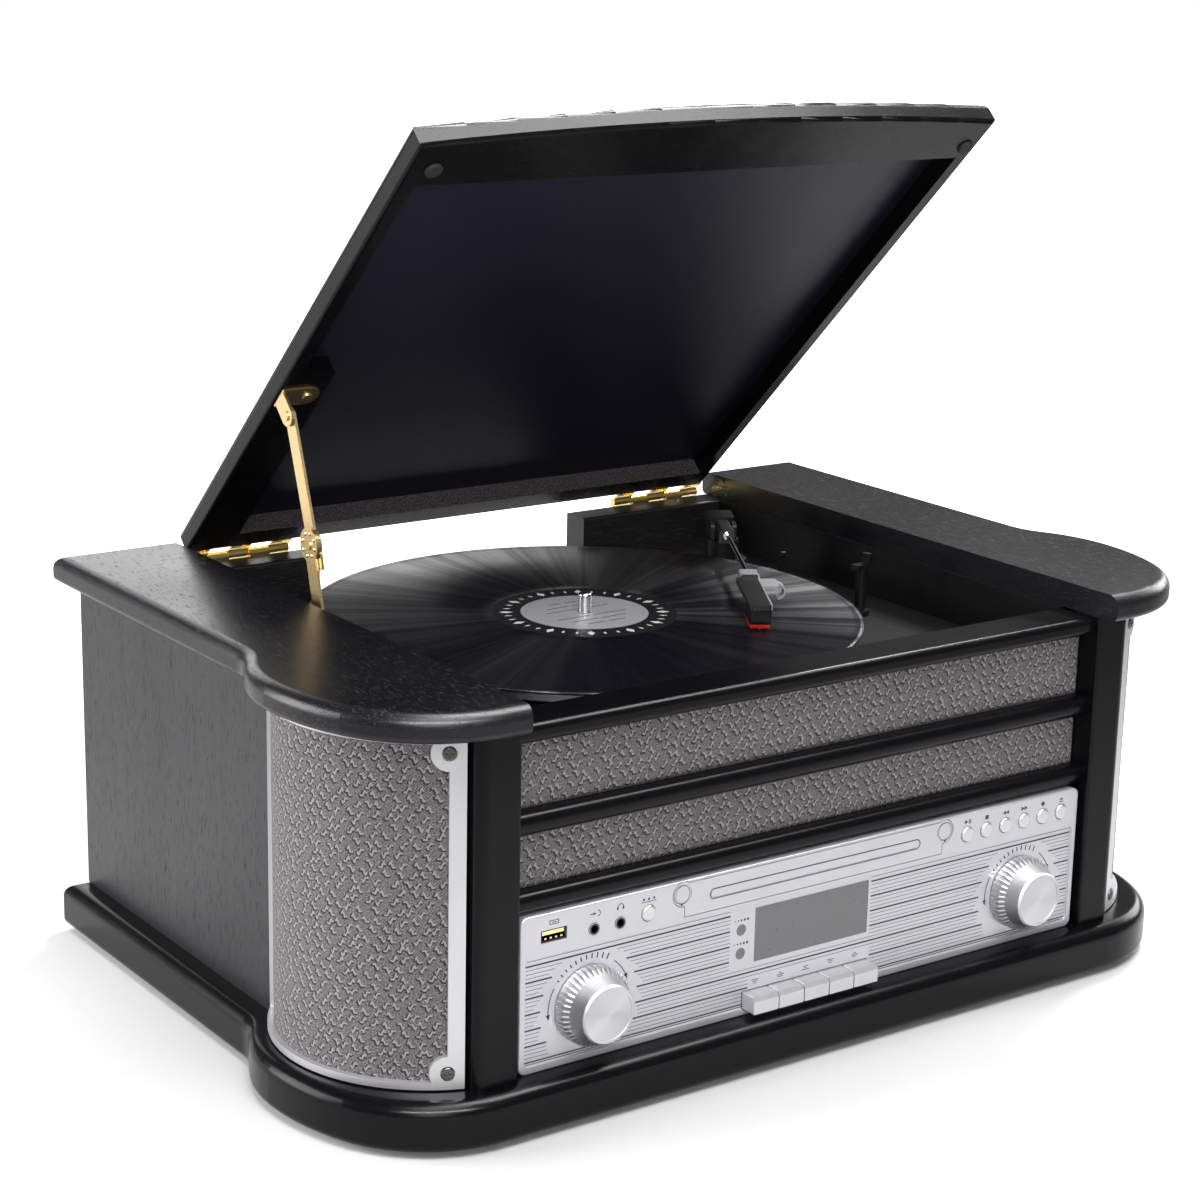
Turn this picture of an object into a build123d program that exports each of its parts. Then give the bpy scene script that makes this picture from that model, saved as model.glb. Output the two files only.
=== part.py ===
"""Tabletop radio phonograph console with a hinged lid, a turntable, a disc drawer and a radio panel.

Frame: origin on the surface the feet stand on, midway between the outer sides and midway between
the front and back edges of the base. +X to the right of a listener, +Y to the back, +Z up.
The lid stands open on its folding stay, and the tonearm is over the record. Millimetres.
"""
import os
from math import acos, atan2, cos, degrees, hypot, radians, sin, sqrt

from build123d import *

# ---------------------------------------------------------------- driving dimensions
FOOT_H = 3.0
PLINTH_T = 24.0
PLINTH_TOP = FOOT_H + PLINTH_T
WING_BOTTOM = 200.0
WING_T = 14.0
WING_INNER_X = 183.7
BACK_Y = 180.0
FRONT_Y = -179.0
SIDE_X = 254.0
BOARD_T = 12.0
SIDE_PANEL_X = 240.5
BACK_FACE_Y = 176.0

# Plan outline of a corner: the side flares out, swells round the speaker pod and turns to the front.
FLARE_START = (-SIDE_X, -30.0)
FLARE_TURN = (-SIDE_X - 4.4, -46.0)
WIDEST = (-SIDE_X - 15.5, -86.0)
SHOULDER = (-259.0, -137.0)
FRONT_START = (-195.3, FRONT_Y)

# Curved speaker pods: part of a cylinder about an upright axis.
POD_X = -181.0
POD_Y = -88.0
POD_R = 79.0
POD_REAR_ANGLE = 138.8
POD_FRONT_ANGLE = 250.2
POD_WALL = 3.0
POD_BOTTOM = PLINTH_TOP + 0.8
POD_TOP = WING_BOTTOM - 0.8
GRILLE_BORDER = 3.6
GRILLE_FRONT_BORDER = 8.0
GRILLE_TAB_R = 8.5
SCREW_INSET = 8.0
SCREW_HEAD_R = 3.3
SCREW_HEAD_T = 1.4
SCREW_SHANK_R = 1.4

# Front: posts, rails, cloth and the silver control panel.
POST_INNER_X = 182.0
POST_OUTER_X = 205.5
POST_FRONT_Y = -168.5
POST_BACK_Y = -150.0
RAIL_HALF = 181.8
RAIL_TOP = 199.5
RAIL_BOTTOM = 190.0
RAIL_FRONT_Y = -164.5
RAIL_BACK_Y = -140.0
SLAT_FRONT_Y = -163.0
SLATS = ((144.2, 156.0), (106.4, 117.0))
CLOTH_Y = -154.5
CLOTH_T = 1.0
FASCIA_T = 9.0
PANEL_HALF = 179.3
PANEL_BOTTOM = PLINTH_TOP
PANEL_TOP = 106.0
PANEL_Y = -164.5
PANEL_PLATE = 3.2
PANEL_DEPTH = 14.0
PANEL_WALL = 2.4
LENS_TOP = 85.0
LENS_DEPTH = 1.2
LENS_Y = PANEL_Y + LENS_DEPTH
PANEL_BACK_Y = PANEL_Y + PANEL_PLATE

# Controls on the panel: centres along X and heights.
KNOB_X = 139.0
KNOB_Z = 55.0
KNOB_BASE_R = 19.5
KNOB_FACE_R = 14.6
KNOB_DEPTH = 17.0
KNOB_FINS = 44
KNOB_SHAFT_R = 3.0
BUTTON_R = 4.0
BUTTON_Z = 94.6
BUTTON_PITCH = 13.46
BUTTON_FIRST_X = 99.3
BUTTON_NAMES = ("play", "stop", "back", "forward", "record", "eject")
FUNCTION_X = -105.9
FUNCTION_Z = 94.0
KEY_NAMES = ("menu", "info", "scan", "preset", "enter")
KEY_FIRST_X = -38.1
KEY_PITCH = 16.2
KEY_W = 15.5
KEY_BOTTOM = 30.2
KEY_TOP = 39.0
KEY_FRONT_Y = -173.0
DISPLAY_X = (-39.4, 34.1)
DISPLAY_Z = (53.7, 82.3)
LENS_DOTS = ((-47.9, 72.4), (-48.0, 60.0))
LENS_DOT_R = 3.0
USB_X = -160.5
USB_Z = 94.6
USB_W = 14.8
USB_H = 6.4
JACKS = ((-137.6, 92.6), (-122.5, 92.5))
JACK_BORE_R = 1.85
JACK_BARREL_R = 3.2
DRAWER_X = -1.2
DRAWER_HALF = 83.0
DRAWER_EAR_R = 6.2
DRAWER_EAR_Z = 99.2
DRAWER_BOTTOM = 87.4
DRAWER_GAP = 0.4
TRAY_HALF = 66.0
TRAY_LENGTH = 122.0
DISC_R = 61.0

# Turntable.
DECK_TOP = 172.0
DECK_T = 4.0
WELL_HALF = 180.5
SPINDLE_X = -20.0
SPINDLE_Y = 16.0
SPINDLE_R = 3.2
SPINDLE_NOSE_R = 3.6
SPINDLE_TOP = 200.0
PLATTER_R = 125.0
PLATTER_TOP = 187.1
PLATTER_T = 5.0
PLATTER_SKIRT = 176.0
HUB_R = 55.0
RECORD_R = 150.5
RECORD_T = 1.8
PULLEY_R = 5.0
PULLEY_OFFSET = (62.0, 58.0)
RUN_CLEAR = 0.06

# Tonearm: upright swing axis, arm direction over the record, stylus place.
ARM_X = 128.3
ARM_Y = 87.1
ARM_Z = 204.0
ARM_ANGLE = -120.5
TURRET_R = 15.0
TURRET_TOP = 185.6
TUBE_R = 1.5
TUBE_START = 20.0
TUBE_END = 110.0
STYLUS_REACH = 177.9
STYLUS_SIDE = -2.9
STYLUS_GAP = 0.35
ARM_REST = (147.0, -17.0)
PARK_SWING = 39.0
CUE_X = 146.0
CUE_Y = (49.0, 65.0)
CUE_Z = DECK_TOP + 8.0

# Lid, in its closed place, and its opening angle.
HINGE_Y = 179.7
HINGE_Z = 201.6
LID_OPEN = 44.7
LID_HALF = 178.2
LID_T = 14.0
LID_BACK_GAP = 9.0
LID_SIDE_LENGTH = 354.7
LID_BOW = 8.5
LID_PANEL_T = 3.0
LID_SIDE_RAIL = 8.5
LID_FRONT_RAIL_START = 325.5
LID_REAR_RAIL_END = 22.0
BATTEN_X = (-169.7, -150.5)
BATTEN_END = 174.0
BUMPERS = ((-164.0, 337.0), (170.0, 334.5))

# Hinges.
BARREL_R = 2.6
PIN_R = 1.5
LEAF_T = 1.2
LEAF_HEIGHT = 11.0
LEAF_DROP = 1.0
HINGES = ((-176.0, -112.0), (114.0, 178.0))
KNUCKLES = 5
BLOCKS = ((-183.0, -103.0), (78.0, 183.0))
BLOCK_FRONT_Y = 158.0

# Folding lid stay at the left.
STAY_UPPER_SLOT = (-175.0, -173.5)
STAY_LOWER_SLOT = (-176.9, -175.4)
BRACKET_SLOT = (-176.7, -175.3)
STAY_LID_S = 156.7
STAY_LID_DROP = 11.6
STAY_KNEE = (37.7, 240.8)
STAY_LOWER_L = 64.0
STAY_LOWER_LEAN = 15.2
LINK_W = 9.0
KNEE_DISC_R = 8.8
KNEE_BACK_R = 8.2
RIVET_HEAD_R = 2.6
RIVET_HEAD_T = 0.8


# ---------------------------------------------------------------- helpers
def block(x0, x1, y0, y1, z0, z1):
    """A box between two corners."""
    return Pos((x0 + x1) / 2, (y0 + y1) / 2, (z0 + z1) / 2) * Box(x1 - x0, y1 - y0, z1 - z0)


def rod(radius, start, end):
    """A round bar from one point to another."""
    axis = Vector(*end) - Vector(*start)
    place = Plane(origin=start, z_dir=axis)
    return place * Cylinder(radius, axis.length, align=(Align.CENTER, Align.CENTER, Align.MIN))


def across(radius, x, z, y0, y1):
    """A round bar along Y, for what passes through the front."""
    return rod(radius, (x, y0, z), (x, y1, z))


def upright(radius, x, y, z0, z1):
    """A round bar along Z."""
    return rod(radius, (x, y, z0), (x, y, z1))


def other_side(shape):
    """The mirror image of a left-hand piece."""
    return mirror(shape, about=Plane.YZ)


def group(*shapes):
    """Separate solids kept together in one node."""
    solids = []
    for shape in shapes:
        solids.extend(shape.solids())
    return Compound(children=solids)


def pair(shape):
    """A left-hand piece and its right-hand twin."""
    return group(shape, other_side(shape))


def corner_curve():
    """The left-hand plan edge from the back corner to where the straight front starts."""
    side = Line((-SIDE_X, BACK_Y), FLARE_START)
    flare = TangentArc(FLARE_START, FLARE_TURN, tangent=side % 1)
    swell = TangentArc(FLARE_TURN, WIDEST, tangent=flare % 1)
    shoulder = TangentArc(WIDEST, SHOULDER, tangent=swell % 1)
    nose = TangentArc(SHOULDER, FRONT_START, tangent=shoulder % 1)
    return side + flare + swell + shoulder + nose


def pod_sector(inner_r, outer_r, start_angle, end_angle, bottom, top):
    """Part of an upright cylinder wall of the left-hand pod."""
    centre = (POD_X, POD_Y)
    sweep = end_angle - start_angle
    outer = CenterArc(centre, outer_r, start_angle, sweep)
    inner = CenterArc(centre, inner_r, start_angle, sweep)
    face = make_face(outer + inner + Line(outer @ 0, inner @ 0) + Line(outer @ 1, inner @ 1))
    return Pos(0, 0, bottom) * extrude(face, top - bottom)


def pod_rod(radius, angle, z, inner_r, outer_r):
    """A round bar that points out of the left-hand pod."""
    c = cos(radians(angle))
    s = sin(radians(angle))
    start = (POD_X + inner_r * c, POD_Y + inner_r * s, z)
    return rod(radius, start, (POD_X + outer_r * c, POD_Y + outer_r * s, z))


def lid_place(shape):
    """Swing a piece built in the closed lid's place up to the open position."""
    return Pos(0, HINGE_Y, HINGE_Z) * Rot(-LID_OPEN, 0, 0) * Pos(0, -HINGE_Y, -HINGE_Z) * shape


def lid_group(*shapes):
    """Separate pieces of the lid, swung open one by one."""
    return group(*[lid_place(shape) for shape in shapes])


def swung(y, z, angle):
    """A point turned about the lid's hinge axis by an angle in degrees."""
    a = radians(angle)
    dy = y - HINGE_Y
    dz = z - HINGE_Z
    return HINGE_Y + dy * cos(a) - dz * sin(a), HINGE_Z + dy * sin(a) + dz * cos(a)


def arm_place(shape):
    """Move a piece drawn along +X from the swing axis to the arm's place over the record."""
    return Pos(ARM_X, ARM_Y, 0) * Rot(0, 0, ARM_ANGLE) * shape


# ---------------------------------------------------------------- cabinet
def plinth():
    """Moulded base board, rounded all round, with a hollow underside."""
    left = corner_curve()
    right = other_side(left)
    ends = Line((-SIDE_X, BACK_Y), (SIDE_X, BACK_Y)) + Line(FRONT_START, (-FRONT_START[0], FRONT_Y))
    face = make_face(left + right + ends)
    board = Pos(0, 0, FOOT_H) * extrude(face, PLINTH_T)
    board = fillet(board.faces().sort_by(Axis.Z)[-1].edges(), 7.0)
    board = fillet(board.faces().sort_by(Axis.Z)[0].edges(), 4.0)
    hollow = block(-205, 205, -125, 145, FOOT_H, PLINTH_TOP - 8)
    return board - fillet(hollow.edges().filter_by(Axis.Z), 12)


def rubber_feet():
    """Four round rubber feet with a chamfered rim."""
    feet = []
    for x in (-226, 226):
        for y in (-112, 156):
            foot = upright(10, x, y, 0, FOOT_H)
            feet.append(chamfer(foot.faces().sort_by(Axis.Z)[0].edges(), 0.8))
    return group(*feet)


def side_panels():
    """Veneered side boards between plinth and wing tops."""
    rear_of_pod = POD_Y + sqrt(POD_R ** 2 - (SIDE_PANEL_X + POD_X) ** 2)
    board = block(-SIDE_PANEL_X, -SIDE_PANEL_X + BOARD_T, rear_of_pod + 0.5, BACK_FACE_Y,
                  PLINTH_TOP, WING_BOTTOM)
    return pair(board)


def wing_top():
    """Left-hand top board with its rounded outer edge."""
    curve = corner_curve()
    inner_back = (-WING_INNER_X, BACK_Y)
    inner_front = (-WING_INNER_X, FRONT_Y)
    ends = Line((-SIDE_X, BACK_Y), inner_back) + Line(inner_back, inner_front) + Line(inner_front, FRONT_START)
    board = Pos(0, 0, WING_BOTTOM) * extrude(make_face(curve + ends), WING_T)
    top = board.faces().sort_by(Axis.Z)[-1].edges()
    board = fillet(top.filter_by(lambda e: abs(e.center().X + WING_INNER_X) > 1), 6.5)
    under = board.faces().sort_by(Axis.Z)[0].edges()
    return fillet(under.filter_by(lambda e: abs(e.center().X + WING_INNER_X) > 1), 3.5)


def back_panel():
    """Rear board with vents, socket openings and two raised hinge blocks."""
    inner_x = SIDE_PANEL_X - BOARD_T
    board = block(-inner_x, inner_x, BACK_FACE_Y - 8, BACK_FACE_Y, PLINTH_TOP, DECK_TOP)
    for side in (-1, 1):
        ear = sorted((side * inner_x, side * WING_INNER_X))
        board += block(ear[0], ear[1], BACK_FACE_Y - 8, BACK_FACE_Y, DECK_TOP, WING_BOTTOM)
    for row in range(3):
        for column in range(12):
            x = -99 + 18 * column
            z = 112 + 14 * row
            slot = block(x, x + 11, BACK_FACE_Y - 9, BACK_FACE_Y + 1, z, z + 4)
            board -= slot
    board -= block(150, 174, BACK_FACE_Y - 9, BACK_FACE_Y + 1, 50, 66)
    board -= block(-176, -134, BACK_FACE_Y - 9, BACK_FACE_Y + 1, 48, 68)
    blocks = []
    for low, high in BLOCKS:
        riser = block(low, high, BLOCK_FRONT_Y, BACK_FACE_Y, DECK_TOP, WING_BOTTOM)
        riser = fillet(riser.faces().sort_by(Axis.Z)[-1].edges().sort_by(Axis.Y)[0:1], 1.5)
        blocks.append(riser)
    return group(board, *blocks)


def front_posts():
    """Square posts beside the pods with one rounded front corner."""
    post = block(-POST_OUTER_X, -POST_INNER_X, POST_FRONT_Y, POST_BACK_Y, PLINTH_TOP, WING_BOTTOM)
    uprights = post.edges().filter_by(Axis.Z).sort_by(Axis.Y)[:2].sort_by(Axis.X)
    post = fillet(uprights[0:1], 6.0)
    uprights = post.edges().filter_by(Axis.Z).filter_by(lambda e: e.center().X > -POST_INNER_X - 0.1)
    return pair(fillet(uprights.sort_by(Axis.Y)[0:1], 1.5))


def front_rails():
    """Broad top rail and two half-round slats across the front."""
    top = block(-RAIL_HALF, RAIL_HALF, RAIL_FRONT_Y, RAIL_BACK_Y, RAIL_BOTTOM, RAIL_TOP)
    front = top.faces().sort_by(Axis.Y)[0].edges().filter_by(Axis.X)
    rails = [fillet(front, 3.5)]
    for low, high in SLATS:
        slat = block(-RAIL_HALF, RAIL_HALF, SLAT_FRONT_Y, CLOTH_Y, low, high)
        front = slat.faces().sort_by(Axis.Y)[0].edges().filter_by(Axis.X)
        rails.append(fillet(front, (high - low) / 2 - 0.6))
    return group(*rails)


def front_cloth():
    """Two strips of speaker cloth between the rails."""
    strips = []
    for low, high in ((SLATS[0][1], RAIL_BOTTOM), (SLATS[1][1], SLATS[0][0])):
        strips.append(block(-RAIL_HALF, RAIL_HALF, CLOTH_Y, CLOTH_Y + CLOTH_T, low, high))
    return group(*strips)


def fascia_board():
    """Board behind the cloth and slats that carries them."""
    back = CLOTH_Y + CLOTH_T
    board = block(-RAIL_HALF, RAIL_HALF, back, back + FASCIA_T, SLATS[1][0], RAIL_BOTTOM)
    ledges = block(-RAIL_HALF, RAIL_HALF, CLOTH_Y, back, *SLATS[0])
    return board + ledges + block(-RAIL_HALF, RAIL_HALF, CLOTH_Y, back, *SLATS[1])


# ---------------------------------------------------------------- speaker pods
def grille_angles(border_rear, border_front):
    """Start and end angles of the pod inside borders given as lengths along its face."""
    per_mm = degrees(1 / POD_R)
    return POD_REAR_ANGLE + border_rear * per_mm, POD_FRONT_ANGLE - border_front * per_mm


def screw_spots():
    """Angle and height of the two grille screws of a pod."""
    angle = grille_angles(0, SCREW_INSET)[1]
    return (angle, POD_BOTTOM + SCREW_INSET), (angle, POD_TOP - SCREW_INSET)


def grille_frame():
    """Curved silver frame with two rounded corner tabs for its screws."""
    inner = POD_R - POD_WALL
    frame = pod_sector(inner, POD_R, POD_REAR_ANGLE, POD_FRONT_ANGLE, POD_BOTTOM, POD_TOP)
    start, end = grille_angles(GRILLE_BORDER, GRILLE_FRONT_BORDER)
    low = POD_BOTTOM + GRILLE_BORDER
    high = POD_TOP - GRILLE_BORDER
    window = pod_sector(inner - 2, POD_R + 2, start, end, low, high)
    for angle, z in screw_spots():
        window -= pod_rod(GRILLE_TAB_R, angle, z, inner - 6, POD_R + 6)
    frame -= window
    for angle, z in screw_spots():
        frame -= pod_rod(SCREW_HEAD_R + 0.4, angle, z, POD_R - 0.7, POD_R + 3)
        frame -= pod_rod(SCREW_SHANK_R + 0.2, angle, z, inner - 3, POD_R)
    return frame


def grille_cloth():
    """Curved cloth-covered grille just inside the frame."""
    start, end = grille_angles(0.6, 0.6)
    outer = POD_R - POD_WALL
    return pod_sector(outer - 2.0, outer, start, end, POD_BOTTOM + 0.6, POD_TOP - 0.6)


def grille_screw(angle, z):
    """Pan-head screw with a cross recess."""
    seat = POD_R - 0.7
    head = pod_rod(SCREW_HEAD_R, angle, z, seat, seat + SCREW_HEAD_T)
    head = fillet(head.edges().sort_by(lambda e: -Vector(POD_X, POD_Y, z).sub(e.center()).length)[0:1], 0.8)
    shank = pod_rod(SCREW_SHANK_R, angle, z, POD_R - POD_WALL, seat)
    top = POD_R + SCREW_HEAD_T
    place = Pos(POD_X, POD_Y, z) * Rot(0, 0, angle)
    cross = place * Pos(top - 0.8, 0, 0) * (Box(1.6, 3.6, 0.8) + Box(1.6, 0.8, 3.6))
    return head + shank - cross


def speaker_baffle():
    """Flat board across the pod with a round hole for the driver."""
    middle = (POD_REAR_ANGLE + POD_FRONT_ANGLE) / 2
    place = Pos(POD_X, POD_Y, (PLINTH_TOP + WING_BOTTOM) / 2) * Rot(0, 0, middle)
    board = Pos(44.5, 0, 0) * Box(9, 106, WING_BOTTOM - PLINTH_TOP)
    hole = Rot(0, 90, 0) * Cylinder(36, 120)
    return place * (board - hole)


def speaker():
    """Round driver: flange, cone body and magnet, seated behind the baffle."""
    middle = (POD_REAR_ANGLE + POD_FRONT_ANGLE) / 2
    place = Pos(POD_X, POD_Y, (PLINTH_TOP + WING_BOTTOM) / 2) * Rot(0, 0, middle)
    profile = Polyline((40, 0), (40, 42), (37.5, 42), (37.5, 36), (20, 25), (12, 25), (12, 0))
    driver = revolve(make_face(profile + Line((12, 0), (40, 0))), Axis.X)
    driver -= revolve(make_face(Polyline((41, 0), (41, 33), (28, 10), (28, 0), (41, 0))), Axis.X)
    return place * driver


# ---------------------------------------------------------------- control panel
def drawer_outline(grow):
    """Front outline of the disc drawer, with a round ear at each upper corner."""
    plate = block(DRAWER_X - DRAWER_HALF - grow, DRAWER_X + DRAWER_HALF + grow, -1, 1,
                  DRAWER_BOTTOM - grow, PANEL_TOP - 1.6 + grow)
    for side in (-1, 1):
        plate += across(DRAWER_EAR_R + grow, DRAWER_X + side * (DRAWER_HALF + 1), DRAWER_EAR_Z, -1, 1)
    return plate


def control_panel():
    """Silver moulded box with every opening of the controls."""
    panel = block(-PANEL_HALF, PANEL_HALF, PANEL_Y, PANEL_Y + PANEL_DEPTH, PANEL_BOTTOM, PANEL_TOP)
    panel = fillet(panel.edges().filter_by(Axis.Y), 4.0)
    panel = fillet(panel.faces().sort_by(Axis.Y)[0].edges(), 0.8)
    panel -= block(-PANEL_HALF + PANEL_WALL, PANEL_HALF - PANEL_WALL, PANEL_BACK_Y, 0,
                   PANEL_BOTTOM + PANEL_WALL, PANEL_TOP - PANEL_WALL)
    inset = PANEL_HALF - 3.0
    lens = block(-inset, inset, PANEL_Y - 1, LENS_Y, PANEL_BOTTOM + 3.6, LENS_TOP)
    panel -= fillet(lens.edges().filter_by(Axis.Y), 3.0)
    for side in (-1, 1):
        panel -= across(KNOB_SHAFT_R + 1.0, side * KNOB_X, KNOB_Z, -200, -100)
    for index in range(len(BUTTON_NAMES)):
        panel -= across(BUTTON_R + 0.35, BUTTON_FIRST_X + index * BUTTON_PITCH, BUTTON_Z, -200, -150)
    panel -= across(BUTTON_R + 0.35, FUNCTION_X, FUNCTION_Z, -200, -150)
    for x, z in JACKS:
        panel -= across(JACK_BARREL_R + 0.1, x, z, -200, -150)
    panel -= block(USB_X - USB_W / 2, USB_X + USB_W / 2, -200, -150, USB_Z - USB_H / 2, USB_Z + USB_H / 2)
    keys_left = KEY_FIRST_X - KEY_W / 2 - 0.6
    keys_right = keys_left + 4 * KEY_PITCH + KEY_W + 1.2
    panel -= block(keys_left, keys_right, -200, -150, KEY_BOTTOM - 0.6, KEY_TOP + 0.6)
    panel -= block(DISPLAY_X[0], DISPLAY_X[1], -200, -150, DISPLAY_Z[0], DISPLAY_Z[1])
    for x, z in LENS_DOTS:
        panel -= across(LENS_DOT_R, x, z, -200, -150)
    opening = scale(drawer_outline(DRAWER_GAP), by=(1, 40, 1))
    return panel - Pos(0, PANEL_Y, 0) * opening


def display_window():
    """Display glass and the two small round lenses, with their shared backing inside."""
    glass = block(DISPLAY_X[0], DISPLAY_X[1], LENS_Y + 0.3, PANEL_BACK_Y, DISPLAY_Z[0], DISPLAY_Z[1])
    bezel = 2.0
    glass += block(DISPLAY_X[0] - bezel, DISPLAY_X[1] + bezel, PANEL_BACK_Y, PANEL_BACK_Y + 2.5,
                   DISPLAY_Z[0] - bezel, DISPLAY_Z[1] + bezel)
    lenses = []
    for x, z in LENS_DOTS:
        lenses.append(across(LENS_DOT_R, x, z, LENS_Y + 0.2, PANEL_BACK_Y + 2.0))
    return group(glass, *lenses)


def knob(x):
    """Tapered knob with a finned skirt, a dished face and a shaft into the panel."""
    back = LENS_Y - 0.5
    face = back - KNOB_DEPTH
    profile = Polyline((0, back), (KNOB_BASE_R, back), (KNOB_BASE_R - 0.4, back - 2.0),
                       (KNOB_FACE_R + 0.3, face + 1.0), (KNOB_FACE_R - 0.5, face), (0, face))
    body = revolve(make_face(profile + Line((0, face), (0, back))), Axis.Y)
    body -= across(KNOB_FACE_R - 1.8, 0, 0, face - 1, face + 0.3)
    fin = block(KNOB_BASE_R - 3.2, KNOB_BASE_R + 0.4, back - 8.6, back, -0.42, 0.42)
    trim = revolve(make_face(Polyline((0, back), (KNOB_BASE_R + 0.35, back), (KNOB_BASE_R + 0.2, back - 6.2),
                                      (KNOB_BASE_R - 2.6, back - 8.6), (0, back - 8.6), (0, back))), Axis.Y)
    fins = [Rot(0, 360 / KNOB_FINS * turn, 0) * fin for turn in range(KNOB_FINS)]
    body += [one & trim for one in fins]
    body += across(KNOB_SHAFT_R, 0, 0, back, PANEL_BACK_Y + 6)
    collar = across(KNOB_SHAFT_R + 2.2, 0, 0, PANEL_BACK_Y + 0.4, PANEL_BACK_Y + 3)
    return Pos(x, 0, KNOB_Z) * (body + collar)


def button(x, z):
    """Domed push button with a retaining flange behind the panel."""
    front = PANEL_Y - 1.2
    cap = across(BUTTON_R, x, z, front, PANEL_BACK_Y + 0.4)
    cap = fillet(cap.faces().sort_by(Axis.Y)[0].edges(), 1.1)
    return cap + across(BUTTON_R + 1.3, x, z, PANEL_BACK_Y + 0.4, PANEL_BACK_Y + 1.8)


def key(index):
    """Piano key with a sloping top front edge and a stem into the panel."""
    x = KEY_FIRST_X + index * KEY_PITCH
    cap = block(x - KEY_W / 2, x + KEY_W / 2, KEY_FRONT_Y, PANEL_BACK_Y + 0.4, KEY_BOTTOM, KEY_TOP)
    front = cap.faces().sort_by(Axis.Y)[0].edges().sort_by(Axis.Z)
    cap = chamfer(front[-1:], 2.2, 1.2)
    cap = fillet(cap.edges().filter_by(Axis.Y), 0.5)
    lip = block(x - KEY_W / 2, x + KEY_W / 2, PANEL_BACK_Y + 0.4, PANEL_BACK_Y + 2.4, KEY_BOTTOM, KEY_TOP + 2.0)
    return cap + lip


def cd_drawer():
    """Disc drawer: front plate with raised oval, tray with a disc recess and side lips."""
    plate = Pos(0, PANEL_Y + 1, 0) * drawer_outline(0)
    middle = (DRAWER_BOTTOM + PANEL_TOP) / 2 - 0.6
    oval = SlotOverall(135.5, 5.2)
    groove = Plane.XZ.offset(-PANEL_Y) * (Pos(DRAWER_X, middle) * (oval - offset(oval, -0.7)))
    plate -= extrude(groove, 0.5, both=True)
    for side in (-1, 1):
        x = DRAWER_X + side * (DRAWER_HALF + 1)
        ring = across(DRAWER_EAR_R - 1.2, x, DRAWER_EAR_Z, PANEL_Y - 1, PANEL_Y + 0.5)
        plate -= ring - across(DRAWER_EAR_R - 1.8, x, DRAWER_EAR_Z, PANEL_Y - 2, PANEL_Y + 2)
    front = PANEL_Y + 2
    tray = block(DRAWER_X - TRAY_HALF, DRAWER_X + TRAY_HALF, front, front + TRAY_LENGTH, 88.5, 96.0)
    centre_y = front + TRAY_LENGTH / 2 - 2
    tray -= upright(DISC_R, DRAWER_X, centre_y, 91.5, 97)
    tray -= block(DRAWER_X - 14, DRAWER_X + 14, centre_y, front + TRAY_LENGTH + 1, 88, 97)
    tray -= upright(20, DRAWER_X, centre_y, 88, 97)
    return plate + tray


def cd_mechanism():
    """Chassis under the drawer with side guides and a disc motor hub."""
    low = DRAWER_X - TRAY_HALF
    high = DRAWER_X + TRAY_HALF
    front = PANEL_Y + PANEL_DEPTH + 1
    back = front + TRAY_LENGTH - 6
    chassis = block(low - 4, high + 4, front, back, 79.5, 84.5)
    for inner, outer in ((low - 0.6, low - 4), (high + 0.6, high + 4)):
        chassis += block(min(inner, outer), max(inner, outer), front, back, 84.5, 98)
    hub_y = PANEL_Y + 2 + TRAY_LENGTH / 2 - 2
    return chassis + upright(12, DRAWER_X, hub_y + 9, 84.5, 87.2) + upright(16, DRAWER_X, hub_y + 9, 68, 79.5)


def front_sockets():
    """USB socket with its tongue, and two phone jacks."""
    y_end = PANEL_BACK_Y + 12
    shell = block(USB_X - USB_W / 2, USB_X + USB_W / 2, PANEL_Y + 0.6, y_end, USB_Z - USB_H / 2, USB_Z + USB_H / 2)
    shell -= block(USB_X - 6.4, USB_X + 6.4, PANEL_Y, y_end - 1.5, USB_Z - 2.35, USB_Z + 2.35)
    shell += block(USB_X - 5.6, USB_X + 5.6, PANEL_Y + 1.2, y_end, USB_Z + 0.2, USB_Z + 1.8)
    parts = [shell]
    for x, z in JACKS:
        barrel = across(JACK_BARREL_R, x, z, PANEL_Y - 0.3, y_end)
        barrel += across(JACK_BARREL_R + 1.6, x, z, PANEL_BACK_Y + 0.1, y_end)
        parts.append(barrel - across(JACK_BORE_R, x, z, PANEL_Y - 2, y_end - 1.5))
    return group(*parts)


def main_circuit_board():
    """Circuit board standing on four posts on the plinth, with its larger components."""
    board = block(-120, 120, -142, -42, 42, 43.6)
    for x in (-112, 112):
        for y in (-134, -50):
            board += upright(3, x, y, PLINTH_TOP, 42)
    board += block(-60, -18, -112, -72, 43.6, 46.5)
    board += block(20, 38, -100, -82, 43.6, 45.6)
    for x in (-96, -80, 60, 76, 92):
        board += upright(5.5, x, -66, 43.6, 57)
    return board + block(70, 104, -118, -114, 43.6, 64)


def transformer():
    """Mains transformer: laminated core with a winding, on a foot plate."""
    core = block(120, 172, 88, 132, PLINTH_TOP + 2, PLINTH_TOP + 46)
    core += block(110, 182, 92, 128, PLINTH_TOP, PLINTH_TOP + 2)
    winding = block(128, 164, 80, 140, PLINTH_TOP + 9, PLINTH_TOP + 39)
    return core + fillet(winding.edges().filter_by(Axis.Y), 4)


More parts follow.
